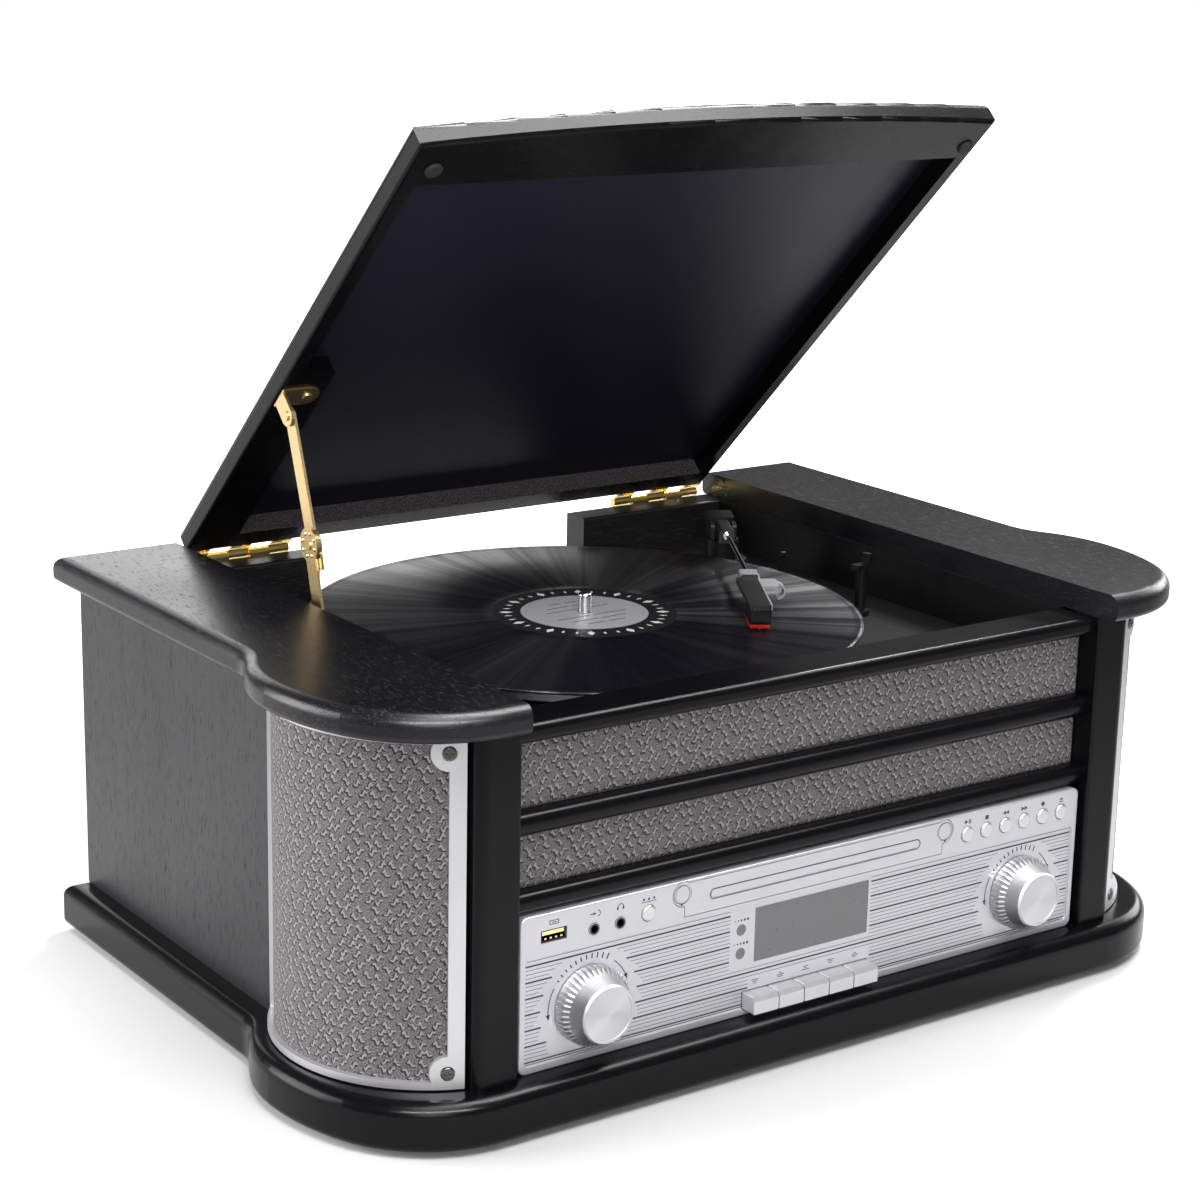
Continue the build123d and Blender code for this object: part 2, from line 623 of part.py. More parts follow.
def rear_sockets():
    """Mains inlet and a pair of line-out sockets on the back panel."""
    face = BACK_FACE_Y
    inlet = block(150.3, 173.7, face - 14, face, 50.3, 65.7) + block(148, 176, face, face + 1.5, 48, 68)
    well = across(4.4, 158.4, 58, face - 9, face + 3) + across(4.4, 165.6, 58, face - 9, face + 3)
    inlet -= well
    for x in (158.4, 165.6):
        inlet += across(1.2, x, 58, face - 9, face - 0.5)
    plate = block(-175.7, -134.3, face - 8, face, 48.3, 67.7) + block(-178, -132, face, face + 1.5, 46, 70)
    for x in (-165, -145):
        plate += across(4.2, x, 58, face, face + 9) + across(6.5, x, 58, face, face + 3)
        plate -= across(3.1, x, 58, face + 1, face + 10)
        plate += across(1.0, x, 58, face, face + 8)
    return group(inlet, plate)


# ---------------------------------------------------------------- turntable
def turntable_deck():
    """Moulded deck: floor, well walls, tonearm column and openings for motor and spindle."""
    floor = block(-WING_INNER_X, WING_INNER_X, RAIL_BACK_Y + 0.2, BACK_FACE_Y - 8, DECK_TOP - DECK_T, DECK_TOP)
    for side in (-1, 1):
        low, high = sorted((side * WELL_HALF, side * WING_INNER_X))
        floor += block(low, high, RAIL_BACK_Y + 0.2, BLOCK_FRONT_Y - 0.2, DECK_TOP, WING_BOTTOM)
    floor += block(-WELL_HALF, WELL_HALF, RAIL_BACK_Y + 0.2, RAIL_BACK_Y + 2.8, DECK_TOP, RAIL_TOP - 1.5)
    floor += upright(15, SPINDLE_X, SPINDLE_Y, DECK_TOP - 12, DECK_TOP + 1.5)
    floor += upright(TURRET_R + 2, ARM_X, ARM_Y, DECK_TOP, DECK_TOP + 5)
    stay_foot = stay_points()[0]
    floor += rod(5.0, (-WELL_HALF - 1, *stay_foot), (STAY_LOWER_SLOT[0] - 0.3, *stay_foot))
    floor -= upright(SPINDLE_R, SPINDLE_X, SPINDLE_Y, 150, 190)
    floor -= upright(4.0, SPINDLE_X + PULLEY_OFFSET[0], SPINDLE_Y + PULLEY_OFFSET[1], 160, 180)
    floor -= upright(5.0 + RUN_CLEAR, ARM_X, ARM_Y, 160, 190)
    floor -= block(129, 151, -124.5, -119.5, 160, 180)
    return floor - block(CUE_X - 2, CUE_X + 2, CUE_Y[0] - 1, CUE_Y[1] + 1, 160, CUE_Z)


def spindle():
    """Fixed centre pin that the platter turns on, with a rounded nose above the record."""
    nose_start = PLATTER_TOP + RECORD_T + 0.3
    nose = upright(SPINDLE_NOSE_R, SPINDLE_X, SPINDLE_Y, nose_start, SPINDLE_TOP)
    nose = fillet(nose.faces().sort_by(Axis.Z)[-1].edges(), 1.8)
    return nose + upright(SPINDLE_R, SPINDLE_X, SPINDLE_Y, DECK_TOP - 12, nose_start)


def platter():
    """Turned platter with a skirt and an inner rim that carries the belt."""
    disc = upright(PLATTER_R, SPINDLE_X, SPINDLE_Y, PLATTER_SKIRT, PLATTER_TOP)
    disc = fillet(disc.faces().sort_by(Axis.Z)[-1].edges(), 1.5)
    disc -= upright(PLATTER_R - 4, SPINDLE_X, SPINDLE_Y, PLATTER_SKIRT - 1, PLATTER_TOP - PLATTER_T)
    rim = upright(HUB_R, SPINDLE_X, SPINDLE_Y, PLATTER_SKIRT, PLATTER_TOP - PLATTER_T)
    disc += rim - upright(HUB_R - 3, SPINDLE_X, SPINDLE_Y, PLATTER_SKIRT - 1, PLATTER_TOP - PLATTER_T)
    disc += upright(10, SPINDLE_X, SPINDLE_Y, PLATTER_SKIRT, PLATTER_TOP - PLATTER_T)
    return disc - upright(SPINDLE_R + RUN_CLEAR, SPINDLE_X, SPINDLE_Y, 160, 190)


def record():
    """Twelve-inch record with a raised rim bead and label area."""
    low = PLATTER_TOP
    high = PLATTER_TOP + RECORD_T
    disc = upright(RECORD_R, SPINDLE_X, SPINDLE_Y, low, high)
    disc = fillet(disc.edges(), 0.7)
    disc -= upright(RECORD_R - 3, SPINDLE_X, SPINDLE_Y, high - 0.25, high + 1) - upright(
        52, SPINDLE_X, SPINDLE_Y, high - 0.25, high + 1)
    return disc - upright(SPINDLE_NOSE_R + RUN_CLEAR, SPINDLE_X, SPINDLE_Y, 160, 190)


def pulley_place():
    """Centre of the motor shaft."""
    return SPINDLE_X + PULLEY_OFFSET[0], SPINDLE_Y + PULLEY_OFFSET[1]


def motor():
    """Small can motor hung under the deck."""
    x, y = pulley_place()
    can = upright(16, x, y, DECK_TOP - DECK_T - 26, DECK_TOP - DECK_T)
    can = fillet(can.faces().sort_by(Axis.Z)[0].edges(), 2)
    return can + upright(1.0, x, y, DECK_TOP - DECK_T, PLATTER_TOP - PLATTER_T - 1.5)


def motor_pulley():
    """Flanged pulley on the motor shaft."""
    x, y = pulley_place()
    low = DECK_TOP + 1.5
    wheel = upright(PULLEY_R, x, y, low, low + 7.5) + upright(PULLEY_R + 1.8, x, y, low, low + 1)
    wheel += upright(PULLEY_R + 1.8, x, y, low + 6.5, low + 7.5)
    return wheel - upright(1.0 + RUN_CLEAR, x, y, low - 1, low + 9)


def belt_band(grow):
    """Outline filled by a belt round the hub rim and pulley, grown outwards."""
    big = HUB_R + grow
    small = PULLEY_R + grow
    x, y = pulley_place()
    span = hypot(*PULLEY_OFFSET)
    heading = degrees(atan2(PULLEY_OFFSET[1], PULLEY_OFFSET[0]))
    lean = degrees(acos((big - small) / span))
    centres = ((SPINDLE_X, SPINDLE_Y, big), (x, y, small))
    tangents = []
    for side in (-1, 1):
        a = radians(heading + side * lean)
        tangents.append([(cx + r * cos(a), cy + r * sin(a)) for cx, cy, r in centres])
    web = Polyline(tangents[0][0], tangents[0][1], tangents[1][1], tangents[1][0], tangents[0][0])
    shape = make_face(web)
    for cx, cy, r in centres:
        shape += Pos(cx, cy) * Circle(r)
    return shape


def drive_belt():
    """Flat rubber belt."""
    low = DECK_TOP + 4.4
    return Pos(0, 0, low) * extrude(belt_band(1.3) - belt_band(0.4), 2.4)


def speed_selector():
    """Sliding speed lever through a slot in the deck."""
    stem = block(138.0, 142.0, -123.4, -120.6, DECK_TOP - 7, DECK_TOP + 0.5)
    cap = block(135.5, 144.5, -126, -118, DECK_TOP + 0.5, DECK_TOP + 5.5)
    cap = fillet(cap.edges().filter_by(Axis.Y).sort_by(Axis.Z)[-2:], 2)
    return stem + cap + block(134, 146, -127, -117, DECK_TOP - 7, DECK_TOP - 4.6)


# ---------------------------------------------------------------- tonearm
def tonearm_base():
    """Turret that swings on the deck column and carries the arm between two cheeks."""
    low = DECK_TOP + 5.4
    turret = upright(TURRET_R, 0, 0, low, TURRET_TOP)
    turret = fillet(turret.faces().sort_by(Axis.Z)[-1].edges(), 1.5)
    turret += upright(9.6, 0, 0, low, ARM_Z - 7.0)
    turret += upright(5, 0, 0, DECK_TOP - 3.5, low)
    for side in (-1, 1):
        inner, outer = sorted((side * 5.2, side * 7.6))
        cheek = block(-5, 5, inner, outer, TURRET_TOP, ARM_Z + 2.6)
        turret += fillet(cheek.edges().filter_by(Axis.Y).sort_by(Axis.Z)[-2:], 2.5)
        turret -= rod(1.2 + RUN_CLEAR, (0, -20, ARM_Z - 2), (0, 20, ARM_Z - 2))
    return arm_place(turret)


def tonearm():
    """Arm block with its trunnions, straight tube, and a headshell with a finger lift."""
    arm = block(-7, TUBE_START, -4.4, 4.4, ARM_Z - 5.5, ARM_Z + 2.4)
    arm = fillet(arm.edges().filter_by(Axis.X).sort_by(Axis.Z)[-2:], 1.8)
    arm += rod(1.2, (0, -7.4, ARM_Z - 2), (0, 7.4, ARM_Z - 2))
    arm += rod(2.6, (-12, 0, ARM_Z - 1.5), (-7, 0, ARM_Z - 1.5))
    arm += rod(TUBE_R, (TUBE_START - 1, 0, ARM_Z), (TUBE_END, 0, ARM_Z - 0.4))
    arm += rod(TUBE_R + 1.0, (TUBE_START - 1, 0, ARM_Z), (TUBE_START + 4, 0, ARM_Z))
    socket = block(TUBE_END - 1, TUBE_END + 14, -5, 5, ARM_Z - 3.2, ARM_Z + 1.8)
    arm += fillet(socket.edges().filter_by(Axis.X).sort_by(Axis.Z)[-2:], 1.2)
    shell = block(TUBE_END + 12, STYLUS_REACH + 3, STYLUS_SIDE - 5, STYLUS_SIDE + 7, ARM_Z - 2.6, ARM_Z + 0.2)
    arm += fillet(shell.edges().filter_by(Axis.Z).sort_by(Axis.X)[-2:], 2)
    wing = block(TUBE_END + 14, TUBE_END + 31, 2, 13.5, ARM_Z - 1.4, ARM_Z + 0.2)
    arm += fillet(wing.edges().filter_by(Axis.Z).sort_by(Axis.Y)[-2:], 1.5)
    finger = Pos(TUBE_END + 22, 13.2, ARM_Z - 4.2) * Rot(0, 90, 0) * Cylinder(4.4, 7)
    finger -= Pos(TUBE_END + 22, 13.2, ARM_Z - 4.2) * Rot(0, 90, 0) * Cylinder(3.4, 9)
    arm += finger & block(TUBE_END, TUBE_END + 40, 13.2, 20, ARM_Z - 9, ARM_Z + 2)
    return arm_place(arm)


def counterweight():
    """Flat rectangular counterweight on the arm's rear stub."""
    weight = block(-27, -8, -8, 8, ARM_Z - 5.0, ARM_Z + 3.6)
    weight = fillet(weight.edges().filter_by(Axis.Z), 1.5)
    weight -= rod(2.6, (-13, 0, ARM_Z - 1.5), (-7, 0, ARM_Z - 1.5))
    return arm_place(weight)


def cartridge():
    """Pickup cartridge under the headshell, with a chamfered nose."""
    body = block(STYLUS_REACH - 22, STYLUS_REACH + 2, STYLUS_SIDE - 4.4, STYLUS_SIDE + 6.4, ARM_Z - 11.0, ARM_Z - 2.6)
    front = body.edges().filter_by(Axis.Y).sort_by(Axis.X)[-2:].sort_by(Axis.Z)[0:1]
    return arm_place(chamfer(front, 2.0))


def stylus():
    """Replaceable stylus holder with a cantilever whose tip is just over the groove."""
    tip_z = PLATTER_TOP + RECORD_T + STYLUS_GAP
    top = ARM_Z - 11.0
    side = Polyline((STYLUS_REACH - 21, top), (STYLUS_REACH, top), (STYLUS_REACH, top - 0.2),
                    (STYLUS_REACH - 1, tip_z + 1.6), (STYLUS_REACH - 6, tip_z + 1.6),
                    (STYLUS_REACH - 21, top - 1.2), (STYLUS_REACH - 21, top))
    holder = extrude(Plane.XZ * make_face(side), 10.4)
    holder = Pos(0, STYLUS_SIDE + 6.2, 0) * holder
    tip = rod(0.4, (STYLUS_REACH - 3, STYLUS_SIDE + 1, tip_z), (STYLUS_REACH - 3, STYLUS_SIDE + 1, tip_z + 2))
    return arm_place(holder + tip)


def arm_rest():
    """Post with a cradle shelf for the parked arm and a lip on its far side."""
    x, y = ARM_REST
    shelf = ARM_Z - TUBE_R - 1.0
    post = upright(5.5, 0, 0, DECK_TOP, DECK_TOP + 3) + upright(3.2, 0, 0, DECK_TOP, shelf - 1.5)
    cradle = block(-2.8, 2.8, -6, 6, shelf - 3, shelf) + block(-2.8, 2.8, 3.2, 6, shelf, shelf + 5.5)
    return Pos(x, y, 0) * Rot(0, 0, ARM_ANGLE + PARK_SWING) * (post + cradle)


def cue_lever():
    """Lever beside the arm column that raises the arm."""
    lever = rod(1.9, (CUE_X, CUE_Y[0], CUE_Z), (CUE_X, CUE_Y[1], CUE_Z))
    arm = block(CUE_X - 1.4, CUE_X + 1.4, CUE_Y[0] + 1.5, CUE_Y[0] + 4.5, CUE_Z - 1, CUE_Z + 14)
    return lever + fillet(arm.edges().filter_by(Axis.X), 1.2)


# ---------------------------------------------------------------- lid
def lid_shell():
    """Whole lid outline with a bowed front and rounded upper edges, closed."""
    rear = HINGE_Y - LID_BACK_GAP
    front = HINGE_Y - LID_SIDE_LENGTH
    bow = ThreePointArc((-LID_HALF, front), (0, front - LID_BOW), (LID_HALF, front))
    sides = Polyline((LID_HALF, front), (LID_HALF, rear), (-LID_HALF, rear), (-LID_HALF, front))
    board = Pos(0, 0, HINGE_Z) * extrude(make_face(bow + sides), LID_T)
    top = board.faces().sort_by(Axis.Z)[-1].edges().sort_by(Axis.Y)
    board = fillet(top[:-1], 5.5)
    under = board.faces().sort_by(Axis.Z)[0].edges().sort_by(Axis.Y)
    return fillet(under[:-1], 2.0)


def lid_panel():
    """Top board of the lid."""
    cut = block(-300, 300, -300, 300, HINGE_Z, HINGE_Z + LID_T - LID_PANEL_T)
    return lid_place(lid_shell() - cut)


def lid_frame():
    """Rails under the lid board and the batten that carries the stay."""
    keep = block(-300, 300, -300, 300, HINGE_Z - 1, HINGE_Z + LID_T - LID_PANEL_T)
    frame = lid_shell() & keep
    side = LID_HALF - LID_SIDE_RAIL
    frame -= block(-side, side, HINGE_Y - LID_FRONT_RAIL_START, HINGE_Y - LID_REAR_RAIL_END,
                   HINGE_Z - 1, HINGE_Z + LID_T)
    batten = block(BATTEN_X[0], BATTEN_X[1], HINGE_Y - BATTEN_END, HINGE_Y - LID_REAR_RAIL_END,
                   HINGE_Z, HINGE_Z + LID_T - LID_PANEL_T)
    return lid_group(frame, batten)


def lid_bumpers():
    """Two soft stops under the front rail."""
    stops = []
    for x, s in BUMPERS:
        stop = upright(4.5, x, HINGE_Y - s, HINGE_Z - 1.7, HINGE_Z)
        stops.append(fillet(stop.faces().sort_by(Axis.Z)[0].edges(), 0.8))
    return lid_group(*stops)


# ---------------------------------------------------------------- hinges
def knuckle_spans(low, high, first):
    """Every other knuckle of a hinge, starting at the first or the second."""
    pitch = (high - low) / KNUCKLES
    return [(low + i * pitch + 0.2, low + (i + 1) * pitch - 0.2) for i in range(first, KNUCKLES, 2)]


def hinge_cabinet_leaf(low, high):
    """Leaf on the rear face of a hinge block, with the second and fourth knuckles."""
    top = WING_BOTTOM - LEAF_DROP
    leaf = block(low, high, BACK_FACE_Y, BACK_FACE_Y + LEAF_T, top - LEAF_HEIGHT, top)
    for start, end in knuckle_spans(low, high, 1):
        leaf += block(start, end, BACK_FACE_Y, HINGE_Y - PIN_R, top - LEAF_T, HINGE_Z)
        leaf += rod(BARREL_R, (start, HINGE_Y, HINGE_Z), (end, HINGE_Y, HINGE_Z))
    return leaf - rod(PIN_R, (low, HINGE_Y, HINGE_Z), (high, HINGE_Y, HINGE_Z))


def hinge_lid_leaf(low, high):
    """Leaf on the rear face of the lid, with straps to the first, third and fifth knuckles."""
    rear = HINGE_Y - LID_BACK_GAP
    leaf = block(low, high, rear, rear + LEAF_T, HINGE_Z + LEAF_T, HINGE_Z + LEAF_HEIGHT)
    for start, end in knuckle_spans(low, high, 0):
        leaf += block(start, end, rear, HINGE_Y, HINGE_Z, HINGE_Z + LEAF_T)
        leaf += rod(BARREL_R, (start, HINGE_Y, HINGE_Z), (end, HINGE_Y, HINGE_Z))
    return leaf - rod(PIN_R + RUN_CLEAR, (low, HINGE_Y, HINGE_Z), (high, HINGE_Y, HINGE_Z))


def hinge_cabinet_leaves():
    """Leaves behind the hinge blocks."""
    return group(*[hinge_cabinet_leaf(low, high) for low, high in HINGES])


def hinge_lid_leaves():
    """Leaves behind the lid's rear rail."""
    return lid_group(*[hinge_lid_leaf(low, high) for low, high in HINGES])


def hinge_pins():
    """Pins held by the cabinet leaves."""
    pins = []
    for low, high in HINGES:
        pins.append(rod(PIN_R, (low + 0.2, HINGE_Y, HINGE_Z), (high - 0.2, HINGE_Y, HINGE_Z)))
    return group(*pins)


# ---------------------------------------------------------------- lid stay
def stay_points():
    """Foot pivot, knee and lid pivot of the stay with the lid open, as (y, z)."""
    lean = radians(STAY_LOWER_LEAN)
    foot = (STAY_KNEE[0] - STAY_LOWER_L * sin(lean), STAY_KNEE[1] - STAY_LOWER_L * cos(lean))
    top = swung(HINGE_Y - STAY_LID_S, HINGE_Z - STAY_LID_DROP, -LID_OPEN)
    return foot, STAY_KNEE, top


def strap(slot, start, end, width):
    """Flat link with rounded ends between two points, thin along X."""
    length = hypot(end[0] - start[0], end[1] - start[1])
    angle = degrees(atan2(end[1] - start[1], end[0] - start[0]))
    outline = Pos(length / 2, 0) * SlotCenterToCenter(length, width)
    bar = extrude(Plane.YZ * (Pos(*start) * Rot(0, 0, angle) * outline), slot[1] - slot[0])
    return Pos(slot[0], 0, 0) * bar


def stay_upper_link():
    """Link from the lid bracket to the knee, with a rear friction disc and a small hooked stop."""
    knee, top = stay_points()[1:]
    link = strap(STAY_UPPER_SLOT, knee, top, LINK_W)
    link += rod(KNEE_BACK_R, (STAY_UPPER_SLOT[0], *knee), (STAY_UPPER_SLOT[1], *knee))
    hook_start = (knee[0] - 7.0, knee[1] - 4.0)
    link += strap(STAY_UPPER_SLOT, hook_start, (hook_start[0] - 1.5, hook_start[1] - 6.0), 3.2)
    return link - rod(PIN_R + RUN_CLEAR, (-180, *top), (-165, *top))


def stay_lower_link():
    """Link from the cabinet to the knee, with the friction disc and its rivet head."""
    foot, knee = stay_points()[:2]
    link = strap(STAY_LOWER_SLOT, foot, knee, LINK_W)
    link += rod(KNEE_DISC_R, (STAY_LOWER_SLOT[0], *knee), (STAY_LOWER_SLOT[1], *knee))
    link += rod(RIVET_HEAD_R, (STAY_LOWER_SLOT[0] - RIVET_HEAD_T, *knee), (STAY_LOWER_SLOT[0], *knee))
    return link - rod(PIN_R + RUN_CLEAR, (-180, *foot), (-170, *foot))


def stay_bracket():
    """Angle bracket across side rail and batten, with the pivot pin of the upper link."""
    y = HINGE_Y - STAY_LID_S
    z = HINGE_Z - STAY_LID_DROP
    ear = block(*BRACKET_SLOT, y - 5.5, y + 5.5, z, HINGE_Z)
    ear += rod(5.5, (BRACKET_SLOT[0], y, z), (BRACKET_SLOT[1], y, z))
    base = block(BRACKET_SLOT[0], BATTEN_X[0] + 9, y - 7, y + 7, HINGE_Z - LEAF_T, HINGE_Z)
    base += upright(7, BATTEN_X[0] + 9, y, HINGE_Z - LEAF_T, HINGE_Z)
    screw = upright(2.6, BATTEN_X[0] + 9, y, HINGE_Z - LEAF_T - 1.0, HINGE_Z - LEAF_T)
    base += fillet(screw.faces().sort_by(Axis.Z)[0].edges(), 0.6)
    pin_end = STAY_UPPER_SLOT[1] + 0.3
    base += rod(PIN_R, (BRACKET_SLOT[1], y, z), (pin_end, y, z))
    base += rod(RIVET_HEAD_R, (pin_end, y, z), (pin_end + RIVET_HEAD_T, y, z))
    base += rod(RIVET_HEAD_R, (BRACKET_SLOT[0] - RIVET_HEAD_T, y, z), (BRACKET_SLOT[0], y, z))
    return lid_place(ear + base)


def stay_pivot():
    """Shoulder pin of the lower link, fixed in the deck wall's boss."""
    foot = stay_points()[0]
    pin = rod(PIN_R, (STAY_LOWER_SLOT[0] - 0.3, *foot), (STAY_LOWER_SLOT[1] + 0.3, *foot))
    return pin + rod(3.0, (STAY_LOWER_SLOT[1] + 0.3, *foot), (STAY_LOWER_SLOT[1] + 1.1, *foot))


# ---------------------------------------------------------------- all nodes
def nodes():
    """Every named piece of the console."""
    wing = wing_top()
    made = {
        "plinth": plinth(),
        "rubber_feet": rubber_feet(),
        "side_panels": side_panels(),
        "back_panel": back_panel(),
        "wing_tops": pair(wing),
        "front_posts": front_posts(),
        "front_rails": front_rails(),
        "front_cloth": front_cloth(),
        "fascia_board": fascia_board(),
        "speaker_baffles": pair(speaker_baffle()),
        "speakers": pair(speaker()),
        "grille_frames": pair(grille_frame()),
        "grille_cloths": pair(grille_cloth()),
        "grille_screws": group(*[pair(grille_screw(*spot)) for spot in screw_spots()]),
        "control_panel": control_panel(),
        "display_window": display_window(),
        "front_sockets": front_sockets(),
        "main_circuit_board": main_circuit_board(),
        "transformer": transformer(),
        "rear_sockets": rear_sockets(),
        "cd_mechanism": cd_mechanism(),
        "cd_drawer": cd_drawer(),
        "volume_knob": knob(-KNOB_X),
        "tuning_knob": knob(KNOB_X),
        "button_function": button(FUNCTION_X, FUNCTION_Z),
        "turntable_deck": turntable_deck(),
        "spindle": spindle(),
        "platter": platter(),
        "record": record(),
        "motor": motor(),
        "motor_pulley": motor_pulley(),
        "drive_belt": drive_belt(),
        "speed_selector": speed_selector(),
        "tonearm_base": tonearm_base(),
        "tonearm": tonearm(),
        "counterweight": counterweight(),
        "cartridge": cartridge(),
        "stylus": stylus(),
        "arm_rest": arm_rest(),
        "cue_lever": cue_lever(),
        "lid_panel": lid_panel(),
        "lid_frame": lid_frame(),
        "lid_bumpers": lid_bumpers(),
        "hinge_cabinet_leaves": hinge_cabinet_leaves(),
        "hinge_lid_leaves": hinge_lid_leaves(),
        "hinge_pins": group(hinge_pins(), stay_pivot()),
        "stay_bracket": stay_bracket(),
        "stay_upper_link": stay_upper_link(),
        "stay_lower_link": stay_lower_link(),
    }
    for index, name in enumerate(BUTTON_NAMES):
        made["button_" + name] = button(BUTTON_FIRST_X + index * BUTTON_PITCH, BUTTON_Z)
    for index, name in enumerate(KEY_NAMES):
        made["key_" + name] = key(index)
    return made


def main():
    os.makedirs("parts", exist_ok=True)
    for name, shape in nodes().items():
        export_step(shape, f"parts/{name}.step")


main()
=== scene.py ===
"""Looks of the radio phonograph console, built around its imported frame. Metres, in the row frame."""
import math

import bmesh
import bpy
from mathutils import Matrix, Vector


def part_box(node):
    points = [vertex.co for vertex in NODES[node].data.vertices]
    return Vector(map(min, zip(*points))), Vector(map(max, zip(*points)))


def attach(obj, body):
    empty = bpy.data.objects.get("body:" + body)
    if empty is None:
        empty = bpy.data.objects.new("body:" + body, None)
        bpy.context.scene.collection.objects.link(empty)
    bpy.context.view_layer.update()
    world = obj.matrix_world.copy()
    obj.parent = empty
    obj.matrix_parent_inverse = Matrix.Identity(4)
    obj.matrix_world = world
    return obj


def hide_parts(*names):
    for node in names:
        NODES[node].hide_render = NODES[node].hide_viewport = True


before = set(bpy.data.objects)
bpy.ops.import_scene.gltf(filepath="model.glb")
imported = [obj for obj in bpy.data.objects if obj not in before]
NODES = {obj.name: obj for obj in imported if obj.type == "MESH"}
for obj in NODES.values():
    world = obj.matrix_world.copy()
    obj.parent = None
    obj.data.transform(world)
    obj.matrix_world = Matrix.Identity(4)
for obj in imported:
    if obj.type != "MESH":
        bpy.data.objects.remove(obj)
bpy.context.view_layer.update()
MM = 0.001

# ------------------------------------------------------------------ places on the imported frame
PANEL_LOW, PANEL_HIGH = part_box("control_panel")
PANEL_Y = PANEL_LOW.y
LENS_Y = PANEL_Y + 1.2 * MM
LENS_TOP = 85.0 * MM
LENS_SIDE = PANEL_HIGH.x - 3.6 * MM
PRINT_T = 0.04 * MM
RECORD_LOW, RECORD_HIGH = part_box("record")
RECORD_R = (RECORD_HIGH.x - RECORD_LOW.x) / 2
SPINDLE = (RECORD_LOW + RECORD_HIGH) / 2
POD_CENTRE = Vector((-181.0 * MM, -88.0 * MM))
POD_CLOTH_R = 76.0 * MM
POD_ANGLES = (math.radians(139.3), math.radians(249.7))


def middle(node):
    """Centre of a CAD node's box."""
    low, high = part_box(node)
    return (low + high) / 2


# ------------------------------------------------------------------ shader builder
class Shader:
    """Builds one procedural material, node by node, in object space."""

    def __init__(self, name, **principled):
        self.mat = bpy.data.materials.new(name)
        self.mat.use_nodes = True
        self.tree = self.mat.node_tree
        self.bsdf = self.tree.nodes["Principled BSDF"]
        for socket, value in principled.items():
            self.bsdf.inputs[socket.replace("_", " ")].default_value = value

    def node(self, kind, **settings):
        made = self.tree.nodes.new(kind)
        for key, value in settings.items():
            setattr(made, key, value)
        return made

    def feed(self, socket, value):
        """Put a constant or another node's output into a socket."""
        if isinstance(value, bpy.types.NodeSocket):
            self.tree.links.new(value, socket)
        else:
            socket.default_value = value

    def place(self, kind="Object"):
        """Places on the piece, in its object space or its cloth's layout."""
        return self.node("ShaderNodeTexCoord").outputs[kind]

    def sum(self, operation, a, b=0.0, c=None):
        """One step of arithmetic."""
        made = self.node("ShaderNodeMath", operation=operation)
        self.feed(made.inputs[0], a)
        self.feed(made.inputs[1], b)
        if c is not None:
            self.feed(made.inputs[2], c)
        return made.outputs[0]

    def vector(self, operation, a, b=(0, 0, 0)):
        """One step of arithmetic on vectors."""
        made = self.node("ShaderNodeVectorMath", operation=operation)
        self.feed(made.inputs[0], a)
        self.feed(made.inputs[1], b)
        wanted = "Value" if operation in ("LENGTH", "DOT_PRODUCT", "DISTANCE") else "Vector"
        return made.outputs[wanted]

    def split(self, vector):
        made = self.node("ShaderNodeSeparateXYZ")
        self.feed(made.inputs[0], vector)
        return made.outputs

    def join(self, x, y, z=0.0):
        made = self.node("ShaderNodeCombineXYZ")
        for socket, value in zip(made.inputs, (x, y, z)):
            self.feed(socket, value)
        return made.outputs[0]

    def spread(self, at, scale):
        """Places scaled evenly, so that a texture comes out at the wanted size."""
        return self.vector("MULTIPLY", at, (scale, scale, scale))

    def rings_about(self, axis, out):
        """Draw highlights along rings about an axis, given the way out from it."""
        along = self.vector("NORMALIZE", self.vector("CROSS_PRODUCT", axis, out))
        self.tree.links.new(along, self.bsdf.inputs["Tangent"])

    def noise(self, vector, detail=2.0, rough=0.5):
        made = self.node("ShaderNodeTexNoise")
        self.feed(made.inputs["Vector"], vector)
        made.inputs["Scale"].default_value = 1.0
        made.inputs["Detail"].default_value = detail
        made.inputs["Roughness"].default_value = rough
        return made.outputs["Fac"]

    def cells(self, vector):
        made = self.node("ShaderNodeTexVoronoi")
        self.feed(made.inputs["Vector"], vector)
        made.inputs["Scale"].default_value = 1.0
        return made.outputs["Distance"]

    def span(self, value, low, high, out_low=0.0, out_high=1.0):
        """Map a range to another, clamped and smoothed."""
        made = self.node("ShaderNodeMapRange", interpolation_type="SMOOTHSTEP")
        for socket, number in zip(made.inputs, (value, low, high, out_low, out_high)):
            self.feed(socket, number)
        return made.outputs[0]

    def tint(self, factor, first, second):
        """Blend from the first colour to the second."""
        made = self.node("ShaderNodeMix", data_type="RGBA")
        self.feed(made.inputs[0], factor)
        self.feed(made.inputs[6], first if not isinstance(first, tuple) else (*first, 1))
        self.feed(made.inputs[7], second if not isinstance(second, tuple) else (*second, 1))
        return made.outputs[2]

    def blend_value(self, factor, first, second):
        """Blend from the first number to the second."""
        made = self.node("ShaderNodeMix", data_type="FLOAT")
        self.feed(made.inputs[0], factor)
        self.feed(made.inputs[2], first)
        self.feed(made.inputs[3], second)
        return made.outputs[0]

    def relief(self, height, depth, strength=1.0):
        """Fine surface relief, its depth in metres."""
        made = self.node("ShaderNodeBump")
        made.inputs["Strength"].default_value = strength
        made.inputs["Distance"].default_value = depth
        self.feed(made.inputs["Height"], height)
        self.tree.links.new(made.outputs[0], self.bsdf.inputs["Normal"])

    def colour(self, value):
        self.feed(self.bsdf.inputs["Base Color"], value)

    def roughness(self, value):
        self.feed(self.bsdf.inputs["Roughness"], value)


def dress(node, shader):
    """Give a CAD node one material in all its slots."""
    piece = NODES[node]
    for slot in piece.material_slots:
        slot.material = shader.mat
    if not piece.material_slots:
        piece.data.materials.append(shader.mat)


